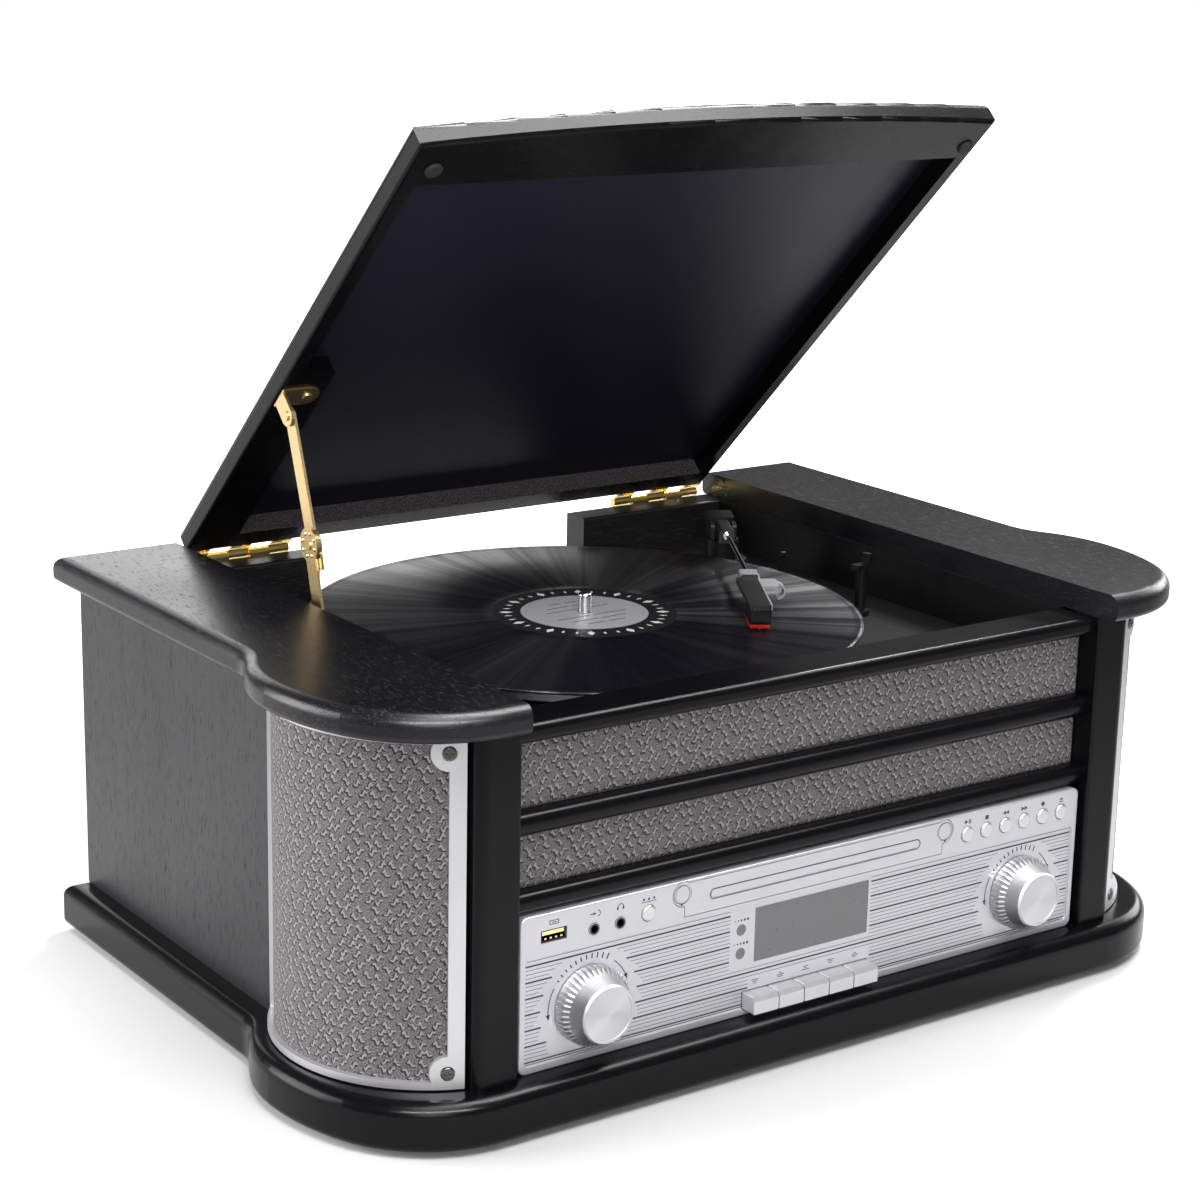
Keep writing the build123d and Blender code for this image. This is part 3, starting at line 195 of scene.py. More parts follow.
# ------------------------------------------------------------------ materials
def veneer(name, along, dark, light, rough, pores, gloss=0.3):
    """Black stained open-pored wood: fine dark dashes and soft streaks along one axis."""
    s = Shader(name, Specular_IOR_Level=gloss)
    fine = [1350.0, 1350.0, 1350.0]
    fine[along] = 130.0
    broad = [130.0, 130.0, 130.0]
    broad[along] = 7.0
    at = s.place()
    dash = s.noise(s.vector("MULTIPLY", at, tuple(fine)), 2.0, 0.6)
    streak = s.noise(s.vector("MULTIPLY", at, tuple(broad)), 3.0, 0.55)
    wander = s.noise(s.spread(at, 9.0), 2.0)
    pore = s.span(dash, 0.58, 0.66)
    body = s.tint(streak, dark, light)
    s.colour(s.tint(s.sum("MULTIPLY", pore, pores), body, (0.003, 0.003, 0.0035)))
    shine = s.sum("MULTIPLY_ADD", wander, 0.16, rough - 0.08)
    s.roughness(s.sum("MULTIPLY_ADD", pore, 0.25, shine))
    height = s.sum("SUBTRACT", s.sum("MULTIPLY", streak, 0.35), pore)
    s.relief(height, 0.06 * MM, 0.45)
    return s


def lacquer(name, base=(0.0035, 0.0035, 0.0045), rough=0.24):
    """Smooth black lacquer over wood: faint filler ripple, fine dust and softly uneven gloss."""
    s = Shader(name, Specular_IOR_Level=0.15)
    at = s.place()
    ripple = s.noise(s.spread(at, 60.0), 3.0)
    grain = s.noise(s.vector("MULTIPLY", at, (30.0, 900.0, 900.0)), 2.0)
    dust = s.span(s.cells(s.spread(at, 70.0)), 0.0, 0.05, 1.0, 0.0)
    s.colour(s.tint(s.sum("MULTIPLY", dust, 0.2), base, (0.06, 0.06, 0.065)))
    s.roughness(s.sum("MULTIPLY_ADD", ripple, 0.14, rough - 0.07))
    s.relief(s.sum("MULTIPLY_ADD", grain, 0.5, ripple), 0.03 * MM, 0.3)
    return s


LID_LEAN = math.radians(44.7)
LID_INWARD = (0.0, -math.sin(LID_LEAN), -math.cos(LID_LEAN))
LID_FORWARD = (0.0, -math.cos(LID_LEAN), math.sin(LID_LEAN))
RAIL_STEP_TOP = 0.245


def faces_along(s, direction, least):
    """One on the faces of the open lid that look along a direction, nought elsewhere."""
    return s.sum("GREATER_THAN", s.vector("DOT_PRODUCT", s.place("Normal"), direction), least)


def lid_lining():
    """Lid board: blue-black satin lining on its underside, black lacquer outside."""
    s = Shader("lid_lining", Specular_IOR_Level=0.3)
    at = s.place()
    inside = faces_along(s, LID_INWARD, 0.9)
    rub = s.noise(s.vector("MULTIPLY", at, (700.0, 25.0, 25.0)), 3.0, 0.6)
    cloud = s.noise(s.vector("MULTIPLY", at, (5.0, 4.0, 4.0)), 2.0)
    dust = s.span(s.cells(s.spread(at, 95.0)), 0.0, 0.06, 1.0, 0.0)
    body = s.tint(cloud, (0.005, 0.0045, 0.012), (0.014, 0.011, 0.028))
    lining = s.tint(s.sum("MULTIPLY", dust, 0.25), body, (0.2, 0.19, 0.24))
    dash = s.noise(s.vector("MULTIPLY", at, (1350.0, 90.0, 90.0)), 2.0, 0.6)
    outside = s.tint(s.span(dash, 0.56, 0.66), (0.006, 0.006, 0.007), (0.001, 0.001, 0.0015))
    s.colour(s.tint(inside, outside, lining))
    s.roughness(s.sum("MULTIPLY_ADD", s.sum("MULTIPLY", rub, inside), 0.16, 0.34))
    s.relief(s.sum("MULTIPLY", rub, inside), 0.02 * MM, 0.4)
    return s


def lid_rails():
    """Lid rails: black lacquer, with the coarse unpolished step of the rear rail, its gritty forward face
    painted pale grey as painted light.
    """
    s = Shader("lid_rails", Specular_IOR_Level=0.15)
    at = s.place()
    low = s.sum("LESS_THAN", s.split(at)[2], RAIL_STEP_TOP)
    step = s.sum("MULTIPLY", faces_along(s, LID_FORWARD, 0.95), low)
    ripple = s.noise(s.spread(at, 60.0), 3.0)
    grit = s.noise(s.spread(at, 1300.0), 3.0, 0.7)
    # Painted light: the rear rail's forward face is tinted pale grey over its real grit.
    grit_painted_lit = s.tint(s.span(grit, 0.40, 0.66), (0.010, 0.009, 0.009), (0.16, 0.145, 0.14))
    s.colour(s.tint(step, (0.004, 0.004, 0.005), grit_painted_lit))
    s.roughness(s.sum("ADD", s.sum("MULTIPLY_ADD", ripple, 0.14, 0.20), s.sum("MULTIPLY", step, 0.4)))
    s.relief(s.sum("MULTIPLY", grit, step), 0.05 * MM, 0.4)
    return s


def moulding(name, base, rough, grain=1400.0, depth=0.05, metallic=0.0, flake=0.0, gloss=0.5):
    """Moulded plastic with a fine spark-eroded texture and, for painted parts, metal flake."""
    s = Shader(name, Metallic=metallic, Specular_IOR_Level=gloss)
    at = s.place()
    fine = s.noise(s.spread(at, grain), 2.0, 0.6)
    cloud = s.noise(s.spread(at, 25.0), 3.0)
    spot = s.cells(s.spread(at, 2600.0))
    lighter = tuple(min(1.0, channel * 1.10 + 0.002) for channel in base)
    tone = s.tint(cloud, base, lighter)
    darker = tuple(channel * 0.78 for channel in base)
    s.colour(s.tint(s.sum("MULTIPLY", spot, flake), tone, darker))
    s.roughness(s.sum("MULTIPLY_ADD", fine, 0.14, rough - 0.07))
    s.relief(fine, depth * MM, 0.5)
    return s


def metal(name, base, rough, brush=(40.0, 900.0, 900.0), tarnish=0.0):
    """Worked metal: fine directional brushing, and darker tarnish in patches."""
    s = Shader(name, Metallic=1.0)
    at = s.place()
    line = s.noise(s.vector("MULTIPLY", at, brush), 2.0, 0.6)
    patch = s.noise(s.spread(at, 420.0), 4.0, 0.65)
    worn = s.span(patch, 0.48, 0.66)
    dull = tuple(channel * 0.42 for channel in base)
    s.colour(s.tint(s.sum("MULTIPLY", worn, tarnish), base, dull))
    shine = s.sum("MULTIPLY_ADD", line, 0.18, rough - 0.09)
    s.roughness(s.sum("ADD", shine, s.sum("MULTIPLY", worn, tarnish * 0.25)))
    s.relief(line, 0.02 * MM, 0.35)
    return s


def turned(name, base, rough, centre, axis, pitch=0.35, plane_depth=0.02):
    """Lathe-turned metal with rings about an axis through centre."""
    s = Shader(name, Metallic=1.0, Anisotropic=0.55)
    keep = [1.0, 1.0, 1.0]
    keep[axis] = 0.0
    out = s.vector("MULTIPLY", s.vector("SUBTRACT", s.place(), tuple(centre)), tuple(keep))
    radius = s.vector("LENGTH", out)
    ring = s.sum("SINE", s.sum("MULTIPLY", radius, 2 * math.pi / (pitch * MM)))
    uneven = s.noise(s.join(s.sum("MULTIPLY", radius, 2500.0), 0.0, 0.0), 2.0)
    cloud = s.noise(s.spread(s.place(), 70.0), 3.0)
    darker = tuple(channel * 0.86 for channel in base)
    s.colour(s.tint(cloud, base, darker))
    s.roughness(s.sum("MULTIPLY_ADD", uneven, 0.16, rough - 0.08))
    s.relief(s.sum("MULTIPLY_ADD", ring, 0.4, uneven), plane_depth * MM, 0.4)
    spin = [0.0, 0.0, 0.0]
    spin[axis] = 1.0
    s.rings_about(tuple(spin), out)
    return s


def vinyl():
    """Pressed record: micro-groove rings that draw highlights out into radial fans."""
    s = Shader("vinyl", Anisotropic=0.9)
    out = s.vector("MULTIPLY", s.vector("SUBTRACT", s.place(), tuple(SPINDLE)), (1.0, 1.0, 0.0))
    radius = s.vector("LENGTH", out)
    band = s.noise(s.join(s.sum("MULTIPLY", radius, 900.0), 0.0, 0.0), 3.0, 0.7)
    wide = s.noise(s.join(s.sum("MULTIPLY", radius, 130.0), 2.0, 0.0), 2.0)
    s.colour(s.tint(wide, (0.003, 0.003, 0.005), (0.010, 0.009, 0.014)))
    s.roughness(s.sum("MULTIPLY_ADD", band, 0.22, 0.20))
    fan = s.noise(s.vector("MULTIPLY", s.vector("NORMALIZE", out), (9.0, 9.0, 0.0)), 4.0, 0.7)
    s.feed(s.bsdf.inputs["Specular IOR Level"], s.span(fan, 0.40, 0.72, 0.12, 0.95))
    groove = s.sum("SINE", s.sum("MULTIPLY", radius, 2 * math.pi / (0.42 * MM)))
    s.relief(s.sum("MULTIPLY_ADD", groove, 0.5, band), 0.004 * MM, 0.4)
    s.rings_about((0, 0, 1), out)
    return s


def segment(s, point, start, end):
    """Distance from a point in the cloth's cell to a straight stitch."""
    run = Vector(end) - Vector(start)
    from_start = s.vector("SUBTRACT", point, (*start, 0.0))
    share = s.sum("DIVIDE", s.vector("DOT_PRODUCT", from_start, (*run, 0.0)), run.length_squared)
    held = s.span(share, 0.0, 1.0)
    held.node.interpolation_type = "LINEAR"
    made = s.node("ShaderNodeVectorMath", operation="SCALE")
    made.inputs[0].default_value = (*run, 0.0)
    s.feed(made.inputs["Scale"], held)
    return s.vector("DISTANCE", from_start, made.outputs[0])


# The weave is laid out in millimetres: corners of the hooked stitch, and the size of its cell.
STITCH = ((-1.45, 0.35), (-0.85, 1.45), (0.25, -1.15), (1.35, -0.95))
CELL = (6.0, 4.6)
WARP_PITCH = 1.5
WEFT_PITCH = 1.35


def from_stitch(s, point):
    """Distance from a point in the cloth's cell to the whole hooked stitch."""
    near = segment(s, point, STITCH[0], STITCH[1])
    for start, end in zip(STITCH[1:-1], STITCH[2:]):
        near = s.sum("MINIMUM", near, segment(s, point, start, end))
    return near


def grille_weave(name):
    """Taupe and black jacquard: fine weave with raised hooked stitches in staggered rows, each ringed by
    painted shadow.
    """
    s = Shader(name, Sheen_Weight=0.08, Sheen_Roughness=0.6)
    flat = s.vector("MULTIPLY", s.place("UV"), (1000.0, 1000.0, 0.0))
    drift = s.node("ShaderNodeTexNoise")
    s.feed(drift.inputs["Vector"], flat)
    drift.inputs["Scale"].default_value = 0.26
    drift.inputs["Detail"].default_value = 2.0
    sway = s.vector("SUBTRACT", drift.outputs["Color"], (0.5, 0.5, 0.5))
    shove = s.vector("MULTIPLY", sway, (1.3, 1.1, 0.0))
    u, v, _ = s.split(s.vector("ADD", flat, shove))
    row = s.sum("FLOOR", s.sum("DIVIDE", v, CELL[1]))
    odd = s.sum("PINGPONG", row, 1.0)
    across = s.sum("MULTIPLY_ADD", odd, 0.5, s.sum("DIVIDE", u, CELL[0]))
    column = s.sum("FLOOR", across)
    chance = s.node("ShaderNodeTexWhiteNoise", noise_dimensions="2D")
    s.feed(chance.inputs["Vector"], s.join(column, row))
    flip = s.sum("MULTIPLY_ADD", s.sum("GREATER_THAN", chance.outputs["Value"], 0.36), 2.0, -1.0)
    shift_x, shift_y, tip = s.split(chance.outputs["Color"])
    turn = s.sum("MULTIPLY_ADD", s.sum("GREATER_THAN", tip, 0.45), 2.0, -1.0)
    cell_x = s.sum("MULTIPLY", s.sum("SUBTRACT", s.sum("FRACT", across), 0.5), CELL[0])
    cell_x = s.sum("MULTIPLY", s.sum("ADD", cell_x, s.sum("MULTIPLY_ADD", shift_x, 2.6, -1.3)), flip)
    cell_y = s.sum("MULTIPLY", s.sum("SUBTRACT", s.sum("FRACT", s.sum("DIVIDE", v, CELL[1])), 0.5), CELL[1])
    cell_y = s.sum("MULTIPLY", s.sum("ADD", cell_y, s.sum("MULTIPLY_ADD", shift_y, 1.4, -0.7)), turn)
    point = s.join(cell_x, cell_y)
    near = from_stitch(s, point)
    # A slightly shifted copy of the stitch gives a painted shadow round it; the same mask also sinks the
    # relief there.
    shade = s.join(s.sum("MULTIPLY_ADD", flip, 0.34, cell_x), s.sum("MULTIPLY_ADD", turn, 0.40, cell_y))
    shadow_distance = from_stitch(s, shade)
    stitch = s.span(near, 0.34, 0.52, 1.0, 0.0)
    stitch_shadow_and_dip = s.span(shadow_distance, 0.75, 1.10, 1.0, 0.0)
    plain_u, plain_v, _ = s.split(flat)
    warp = s.sum("SINE", s.sum("MULTIPLY", plain_u, 2 * math.pi / WARP_PITCH))
    weft = s.sum("SINE", s.sum("MULTIPLY", plain_v, 2 * math.pi / WEFT_PITCH))
    weave = s.sum("MULTIPLY_ADD", s.sum("MULTIPLY", warp, weft), 0.5, 0.5)
    fuzz = s.noise(s.vector("MULTIPLY", flat, (1.25, 1.25, 0.0)), 2.0, 0.75)
    blotch = s.noise(s.vector("MULTIPLY", flat, (0.06, 0.06, 0.0)), 2.0)
    ground = s.tint(weave, (0.010, 0.009, 0.010), (0.10, 0.09, 0.094))
    fluff = s.span(fuzz, 0.40, 0.62)
    thread = s.tint(weave, (0.07, 0.063, 0.066), (0.42, 0.38, 0.395))
    ground = s.tint(fluff, ground, thread)
    ground = s.tint(s.sum("MULTIPLY", blotch, 0.25), ground, (0.09, 0.081, 0.084))
    # Painted shadow: the ground goes near black round each stitch.
    dark = s.tint(s.sum("MULTIPLY", stitch_shadow_and_dip, 0.97), ground, (0.004, 0.004, 0.004))
    s.colour(s.tint(stitch, dark, (0.33, 0.30, 0.31)))
    s.roughness(0.86)
    low = s.sum("SUBTRACT", s.sum("MULTIPLY", weave, 0.40), s.sum("MULTIPLY", stitch_shadow_and_dip, 0.45))
    s.relief(s.sum("ADD", low, s.sum("MULTIPLY", stitch, 0.75)), 0.32 * MM, 0.8)
    return s


# Lengths along the tonearm from its pivot, and the side on which the finger lift stands out.
TUBE_START = 24.0 * MM
TUBE_END = 109.5 * MM
BLOCK_END = 121.5 * MM
LIFT_SIDE = 5.2 * MM


def arm_finish():
    """Tonearm: black body, bright tube, light grey socket block, wing and finger lift."""
    s = Shader("tonearm_finish")
    pivot = middle("tonearm_base")
    head = middle("cartridge")
    along = Vector((head.x - pivot.x, head.y - pivot.y, 0)).normalized()
    aside = Vector((-along.y, along.x, 0))
    away = s.vector("SUBTRACT", s.place(), (pivot.x, pivot.y, 0.0))
    reach = s.vector("DOT_PRODUCT", away, tuple(along))
    side = s.vector("DOT_PRODUCT", away, tuple(aside))
    tube = s.sum("MULTIPLY", s.sum("GREATER_THAN", reach, TUBE_START), s.sum("LESS_THAN", reach, TUBE_END))
    block = s.sum("MULTIPLY", s.sum("GREATER_THAN", reach, TUBE_END), s.sum("LESS_THAN", reach, BLOCK_END))
    wing = s.sum("MULTIPLY", s.sum("GREATER_THAN", side, LIFT_SIDE), s.sum("GREATER_THAN", reach, BLOCK_END))
    grain = s.noise(s.spread(s.place(), 1500.0), 2.0)
    paint = s.tint(s.sum("MAXIMUM", block, wing), (0.010, 0.010, 0.011), (0.36, 0.37, 0.38))
    s.colour(s.tint(tube, paint, (0.86, 0.86, 0.88)))
    s.feed(s.bsdf.inputs["Metallic"], tube)
    s.roughness(s.blend_value(tube, s.sum("MULTIPLY_ADD", grain, 0.15, 0.28), 0.14))
    s.relief(grain, 0.02 * MM, 0.3)
    return s


def flat_ink(name, colour, rough=0.5):
    """Screen-printed ink with slightly uneven coverage."""
    s = Shader(name)
    cover = s.noise(s.spread(s.place(), 900.0), 2.0)
    s.colour(s.tint(cover, colour, tuple(min(1.0, channel * 1.5 + 0.01) for channel in colour)))
    s.roughness(rough)
    s.relief(cover, 0.01 * MM, 0.2)
    return s


def dress_cad():
    """Materials of every CAD node that stays shown."""
    side = veneer("veneer_upright", 2, (0.007, 0.0065, 0.009), (0.022, 0.020, 0.024), 0.40, 1.0, 0.36)
    top = veneer("veneer_top", 1, (0.004, 0.004, 0.006), (0.009, 0.008, 0.011), 0.30, 0.35, 0.36)
    cross = veneer("veneer_cross", 0, (0.008, 0.008, 0.009), (0.018, 0.017, 0.019), 0.42, 0.55)
    black = lacquer("black_lacquer")
    brass = metal("brass_stay", (0.72, 0.53, 0.27), 0.30, tarnish=0.22)
    hinge = metal("brass_hinge", (0.90, 0.70, 0.30), 0.16, tarnish=0.25)
    silver = moulding("silver_paint", (0.55, 0.55, 0.58), 0.36, 900.0, 0.012, 0.45, 0.12)
    bright = moulding("silver_button", (0.60, 0.60, 0.62), 0.34, 900.0, 0.003, 0.5, 0.08)
    trim = moulding("silver_trim", (0.58, 0.58, 0.60), 0.36, 700.0, 0.02, 0.6, 0.2)
    plastic = moulding("black_plastic", (0.006, 0.006, 0.008), 0.40, gloss=0.18)
    deck = moulding("deck_plastic", (0.005, 0.005, 0.006), 0.44, 1100.0, 0.12, gloss=0.2)
    gloss = moulding("black_gloss", (0.006, 0.006, 0.007), 0.18, 500.0, 0.01, gloss=0.4)
    rubber = moulding("rubber", (0.012, 0.012, 0.012), 0.75, 800.0, 0.1)
    glass = moulding("display_grey", (0.150, 0.150, 0.156), 0.30, 300.0, 0.004)
    steel = metal("steel", (0.62, 0.62, 0.64), 0.22, (900.0, 900.0, 60.0))
    fixing = metal("screw_dark", (0.11, 0.10, 0.09), 0.28, tarnish=0.3)
    board = moulding("circuit_board", (0.02, 0.13, 0.05), 0.35, 400.0, 0.03)
    red = moulding("stylus_red", (0.85, 0.012, 0.010), 0.22, 500.0, 0.01)
    looks = {
        "plinth": black, "side_panels": side, "back_panel": cross, "wing_tops": top, "front_posts": black,
        "front_rails": black, "fascia_board": cross, "speaker_baffles": cross, "speakers": rubber,
        "grille_frames": trim, "grille_screws": fixing, "control_panel": silver, "display_window": glass,
        "front_sockets": gloss, "main_circuit_board": board, "transformer": steel, "rear_sockets": plastic,
        "cd_mechanism": plastic, "cd_drawer": silver, "turntable_deck": deck, "spindle": steel,
        "motor": steel, "motor_pulley": hinge, "drive_belt": rubber, "speed_selector": plastic,
        "tonearm_base": deck, "tonearm": arm_finish(), "counterweight": plastic, "cartridge": plastic,
        "stylus": red, "arm_rest": plastic, "cue_lever": plastic,
        "lid_panel": lid_lining(), "lid_frame": lid_rails(), "lid_bumpers": rubber,
        "hinge_cabinet_leaves": hinge, "hinge_lid_leaves": hinge, "hinge_pins": hinge,
        "stay_bracket": brass, "stay_upper_link": brass, "stay_lower_link": brass, "rubber_feet": rubber,
        "platter": turned("platter_metal", (0.55, 0.55, 0.57), 0.3, SPINDLE, 2),
    }
    for knob in ("volume_knob", "tuning_knob"):
        looks[knob] = turned(knob + "_metal", (0.56, 0.56, 0.575), 0.42, middle(knob), 1, 0.25, 0.01)
    for node in NODES:
        if node.startswith(("button_", "key_")):
            looks[node] = bright
    for node, look in looks.items():
        dress(node, look)


# ------------------------------------------------------------------ mesh helpers
def mesh_piece(name, verts, faces, shader, body, smooth=False):
    """A new piece from points and faces, with its material and body."""
    mesh = bpy.data.meshes.new(name)
    mesh.from_pydata([tuple(v) for v in verts], [], faces)
    mesh.validate()
    fix = bmesh.new()
    fix.from_mesh(mesh)
    bmesh.ops.recalc_face_normals(fix, faces=fix.faces)
    fix.to_mesh(mesh)
    fix.free()
    mesh.materials.append(shader.mat)
    for polygon in mesh.polygons:
        polygon.use_smooth = smooth
    piece = bpy.data.objects.new(name, mesh)
    bpy.context.scene.collection.objects.link(piece)
    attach(piece, body)
    return piece


class Sheaf:
    """Collects thin prisms so that many small marks make one piece."""

    def __init__(self):
        self.verts = []
        self.faces = []

    def prism(self, outline, lift):
        """A closed prism between an outline and the same outline moved by lift."""
        start = len(self.verts)
        count = len(outline)
        self.verts += [Vector(p) for p in outline]
        self.verts += [Vector(p) + Vector(lift) for p in outline]
        self.faces.append(tuple(range(start, start + count)))
        self.faces.append(tuple(range(start + count, start + 2 * count)))
        for i in range(count):
            j = (i + 1) % count
            self.faces.append((start + i, start + j, start + count + j, start + count + i))

    def lathe(self, profile, centre, steps):
        """A ring of revolution about Z from a closed outline of (radius, height) points."""
        start = len(self.verts)
        count = len(profile)
        for step in range(steps):
            a = 2 * math.pi * step / steps
            for radius, height in profile:
                x = centre.x + radius * math.cos(a)
                y = centre.y + radius * math.sin(a)
                self.verts.append(Vector((x, y, height)))
        for step in range(steps):
            here = start + step * count
            after = start + (step + 1) % steps * count
            for i in range(count):
                j = (i + 1) % count
                self.faces.append((here + i, here + j, after + j, after + i))

    def piece(self, name, shader, body, slot, smooth=False):
        """Make one piece of all that was collected."""
        return mesh_piece(name, self.verts, self.faces, shader, body, smooth)


class Print(Sheaf):
    """Marks printed on an upright face that looks towards -Y."""

    def __init__(self, y):
        super().__init__()
        self.y = y

    def shape(self, points):
        """A filled outline given as (x, z)."""
        self.prism([(x, self.y, z) for x, z in points], (0, -PRINT_T, 0))

    def bar(self, x0, z0, x1, z1, width):
        """A straight stroke."""
        run = Vector((x1 - x0, z1 - z0))
        off = Vector((-run.y, run.x)).normalized() * width / 2
        self.shape([(x0 + off.x, z0 + off.y), (x1 + off.x, z1 + off.y),
                    (x1 - off.x, z1 - off.y), (x0 - off.x, z0 - off.y)])

    def dot(self, x, z, radius, sides=14):
        """A filled circle."""
        turn = 2 * math.pi / sides
        self.shape([(x + radius * math.cos(i * turn), z + radius * math.sin(i * turn)) for i in range(sides)])

    def arc(self, x, z, radius, start, end, width, steps=14):
        """A stroke along part of a circle, angles in degrees."""
        for i in range(steps):
            a = math.radians(start + (end - start) * i / steps)
            b = math.radians(start + (end - start) * (i + 1) / steps)
            inner = radius - width / 2
            outer = radius + width / 2
            self.shape([(x + r * math.cos(t), z + r * math.sin(t))
                        for r, t in ((inner, a), (outer, a), (outer, b), (inner, b))])

    def arrow(self, x, z, direction, size):
        """A small filled arrowhead with its tip at (x, z)."""
        a = math.radians(direction)
        tip = Vector((x, z))
        back = tip - Vector((math.cos(a), math.sin(a))) * size
        wide = Vector((-math.sin(a), math.cos(a))) * size * 0.38
        self.shape([tuple(tip), tuple(back + wide), tuple(back - wide)])


# ------------------------------------------------------------------ printed panel
KNOBS = (middle("volume_knob"), middle("tuning_knob"))
LINE_FIRST = 81.0 * MM
LINE_PITCH = 8.05 * MM
KNOB_CLEAR = 28.0 * MM
PLATE_LEFT = -54.9 * MM
PLATE_RIGHT = 35.6 * MM
PLATE_BOTTOM = 52.2 * MM
KEY_PLATE_LEFT = -42.8 * MM
KEY_PLATE_RIGHT = 36.4 * MM
KEY_PLATE_TOP = 46.6 * MM
SLOT_X = -1.2 * MM
SLOT_HALF = 65.2 * MM
SLOT_R = 2.6 * MM
SCALE_R = 23.4 * MM
ICON_RISE = 6.9 * MM
ICON_SIZE = 2.3 * MM
# Places on the panel in millimetres, as (x, z).
LINE_SOCKET = (-137.6, 92.6)
PHONES_SOCKET = (-122.5, 92.5)
PLUG_STROKES = ((-163, 100.2, -158, 100.2), (-163, 102.0, -158, 102.0), (-163, 100.0, -163, 102.2),
                (-158, 100.0, -158, 102.2), (-161.8, 101.1, -159.2, 101.1))


def line_spans(z, shrink):
    """Stretches of a printed line that stay clear of knobs, display plate and key plate."""
    gaps = []
    for knob in KNOBS:
        rise = z - knob.z
        if abs(rise) < KNOB_CLEAR - 3 * MM:
            half = math.sqrt(KNOB_CLEAR ** 2 - rise ** 2) + shrink
            gaps.append((knob.x - half, knob.x + half))
    if z > PLATE_BOTTOM:
        gaps.append((PLATE_LEFT, PLATE_RIGHT))
    if z < KEY_PLATE_TOP:
        gaps.append((KEY_PLATE_LEFT, KEY_PLATE_RIGHT))
    spans = []
    start = -LENS_SIDE
    for low, high in sorted(gaps):
        if low > start:
            spans.append((start, low))
        start = max(start, high)
    if start < LENS_SIDE:
        spans.append((start, LENS_SIDE))
    return spans


def panel_lines(ink, faint):
    """Bold dial lines with fine ones between, one fine line at the head and two at the foot."""
    bold = Print(LENS_Y)
    fine = Print(LENS_Y)
    for row in range(6):
        z = LINE_FIRST - row * LINE_PITCH
        for low, high in line_spans(z, 0.0):
            bold.bar(low, z, high, z, 0.85 * MM)
        for step in (1, 2, 3):
            thin = z - step * LINE_PITCH / 4
            for low, high in line_spans(thin, 1.2 * MM * step):
                fine.bar(low, thin, high, thin, 0.30 * MM)
    head = LENS_TOP - 1.6 * MM
    for low, high in line_spans(head, 0.0):
        fine.bar(low, head, high, head, 0.28 * MM)
    for z, width in ((32.6 * MM, 0.7 * MM), (31.4 * MM, 0.4 * MM)):
        bold.bar(-LENS_SIDE, z, KEY_PLATE_LEFT - 1.5 * MM, z, width)
        bold.bar(KEY_PLATE_RIGHT + 1.5 * MM, z, LENS_SIDE, z, width)
    bold.piece("panel_lines_bold", ink, "cabinet", "silver_plastic")
    fine.piece("panel_lines_fine", faint, "cabinet", "silver_plastic")


def knob_scales(ink):
    """Arcs with arrowheads and a row of ticks round the upper half of each knob."""
    marks = Print(LENS_Y)
    for knob in KNOBS:
        for start, end, heading in ((150, 186, 276), (52, 22, 292)):
            marks.arc(knob.x, knob.z, SCALE_R, start, end, 0.5 * MM)
            a = math.radians(end)
            tip = (knob.x + SCALE_R * math.cos(a), knob.z + SCALE_R * math.sin(a))
            h = math.radians(heading)
            marks.arrow(tip[0] + 1.4 * MM * math.cos(h), tip[1] + 1.4 * MM * math.sin(h), heading, 3.0 * MM)
        for step in range(11):
            a = math.radians(140 - step * 7.6)
            inner = SCALE_R - 0.9 * MM
            outer = SCALE_R + (0.6 + 0.16 * step) * MM
            marks.bar(knob.x + inner * math.cos(a), knob.z + inner * math.sin(a),
                      knob.x + outer * math.cos(a), knob.z + outer * math.sin(a), 0.75 * MM)
    marks.piece("knob_scales", ink, "cabinet", "silver_plastic")


def play_icon(marks, x, z, way=1):
    """A filled triangle that points right, or left where way is -1."""
    half = ICON_SIZE / 2
    marks.shape([(x - way * half, z + half), (x - way * half, z - half), (x + way * half, z)])


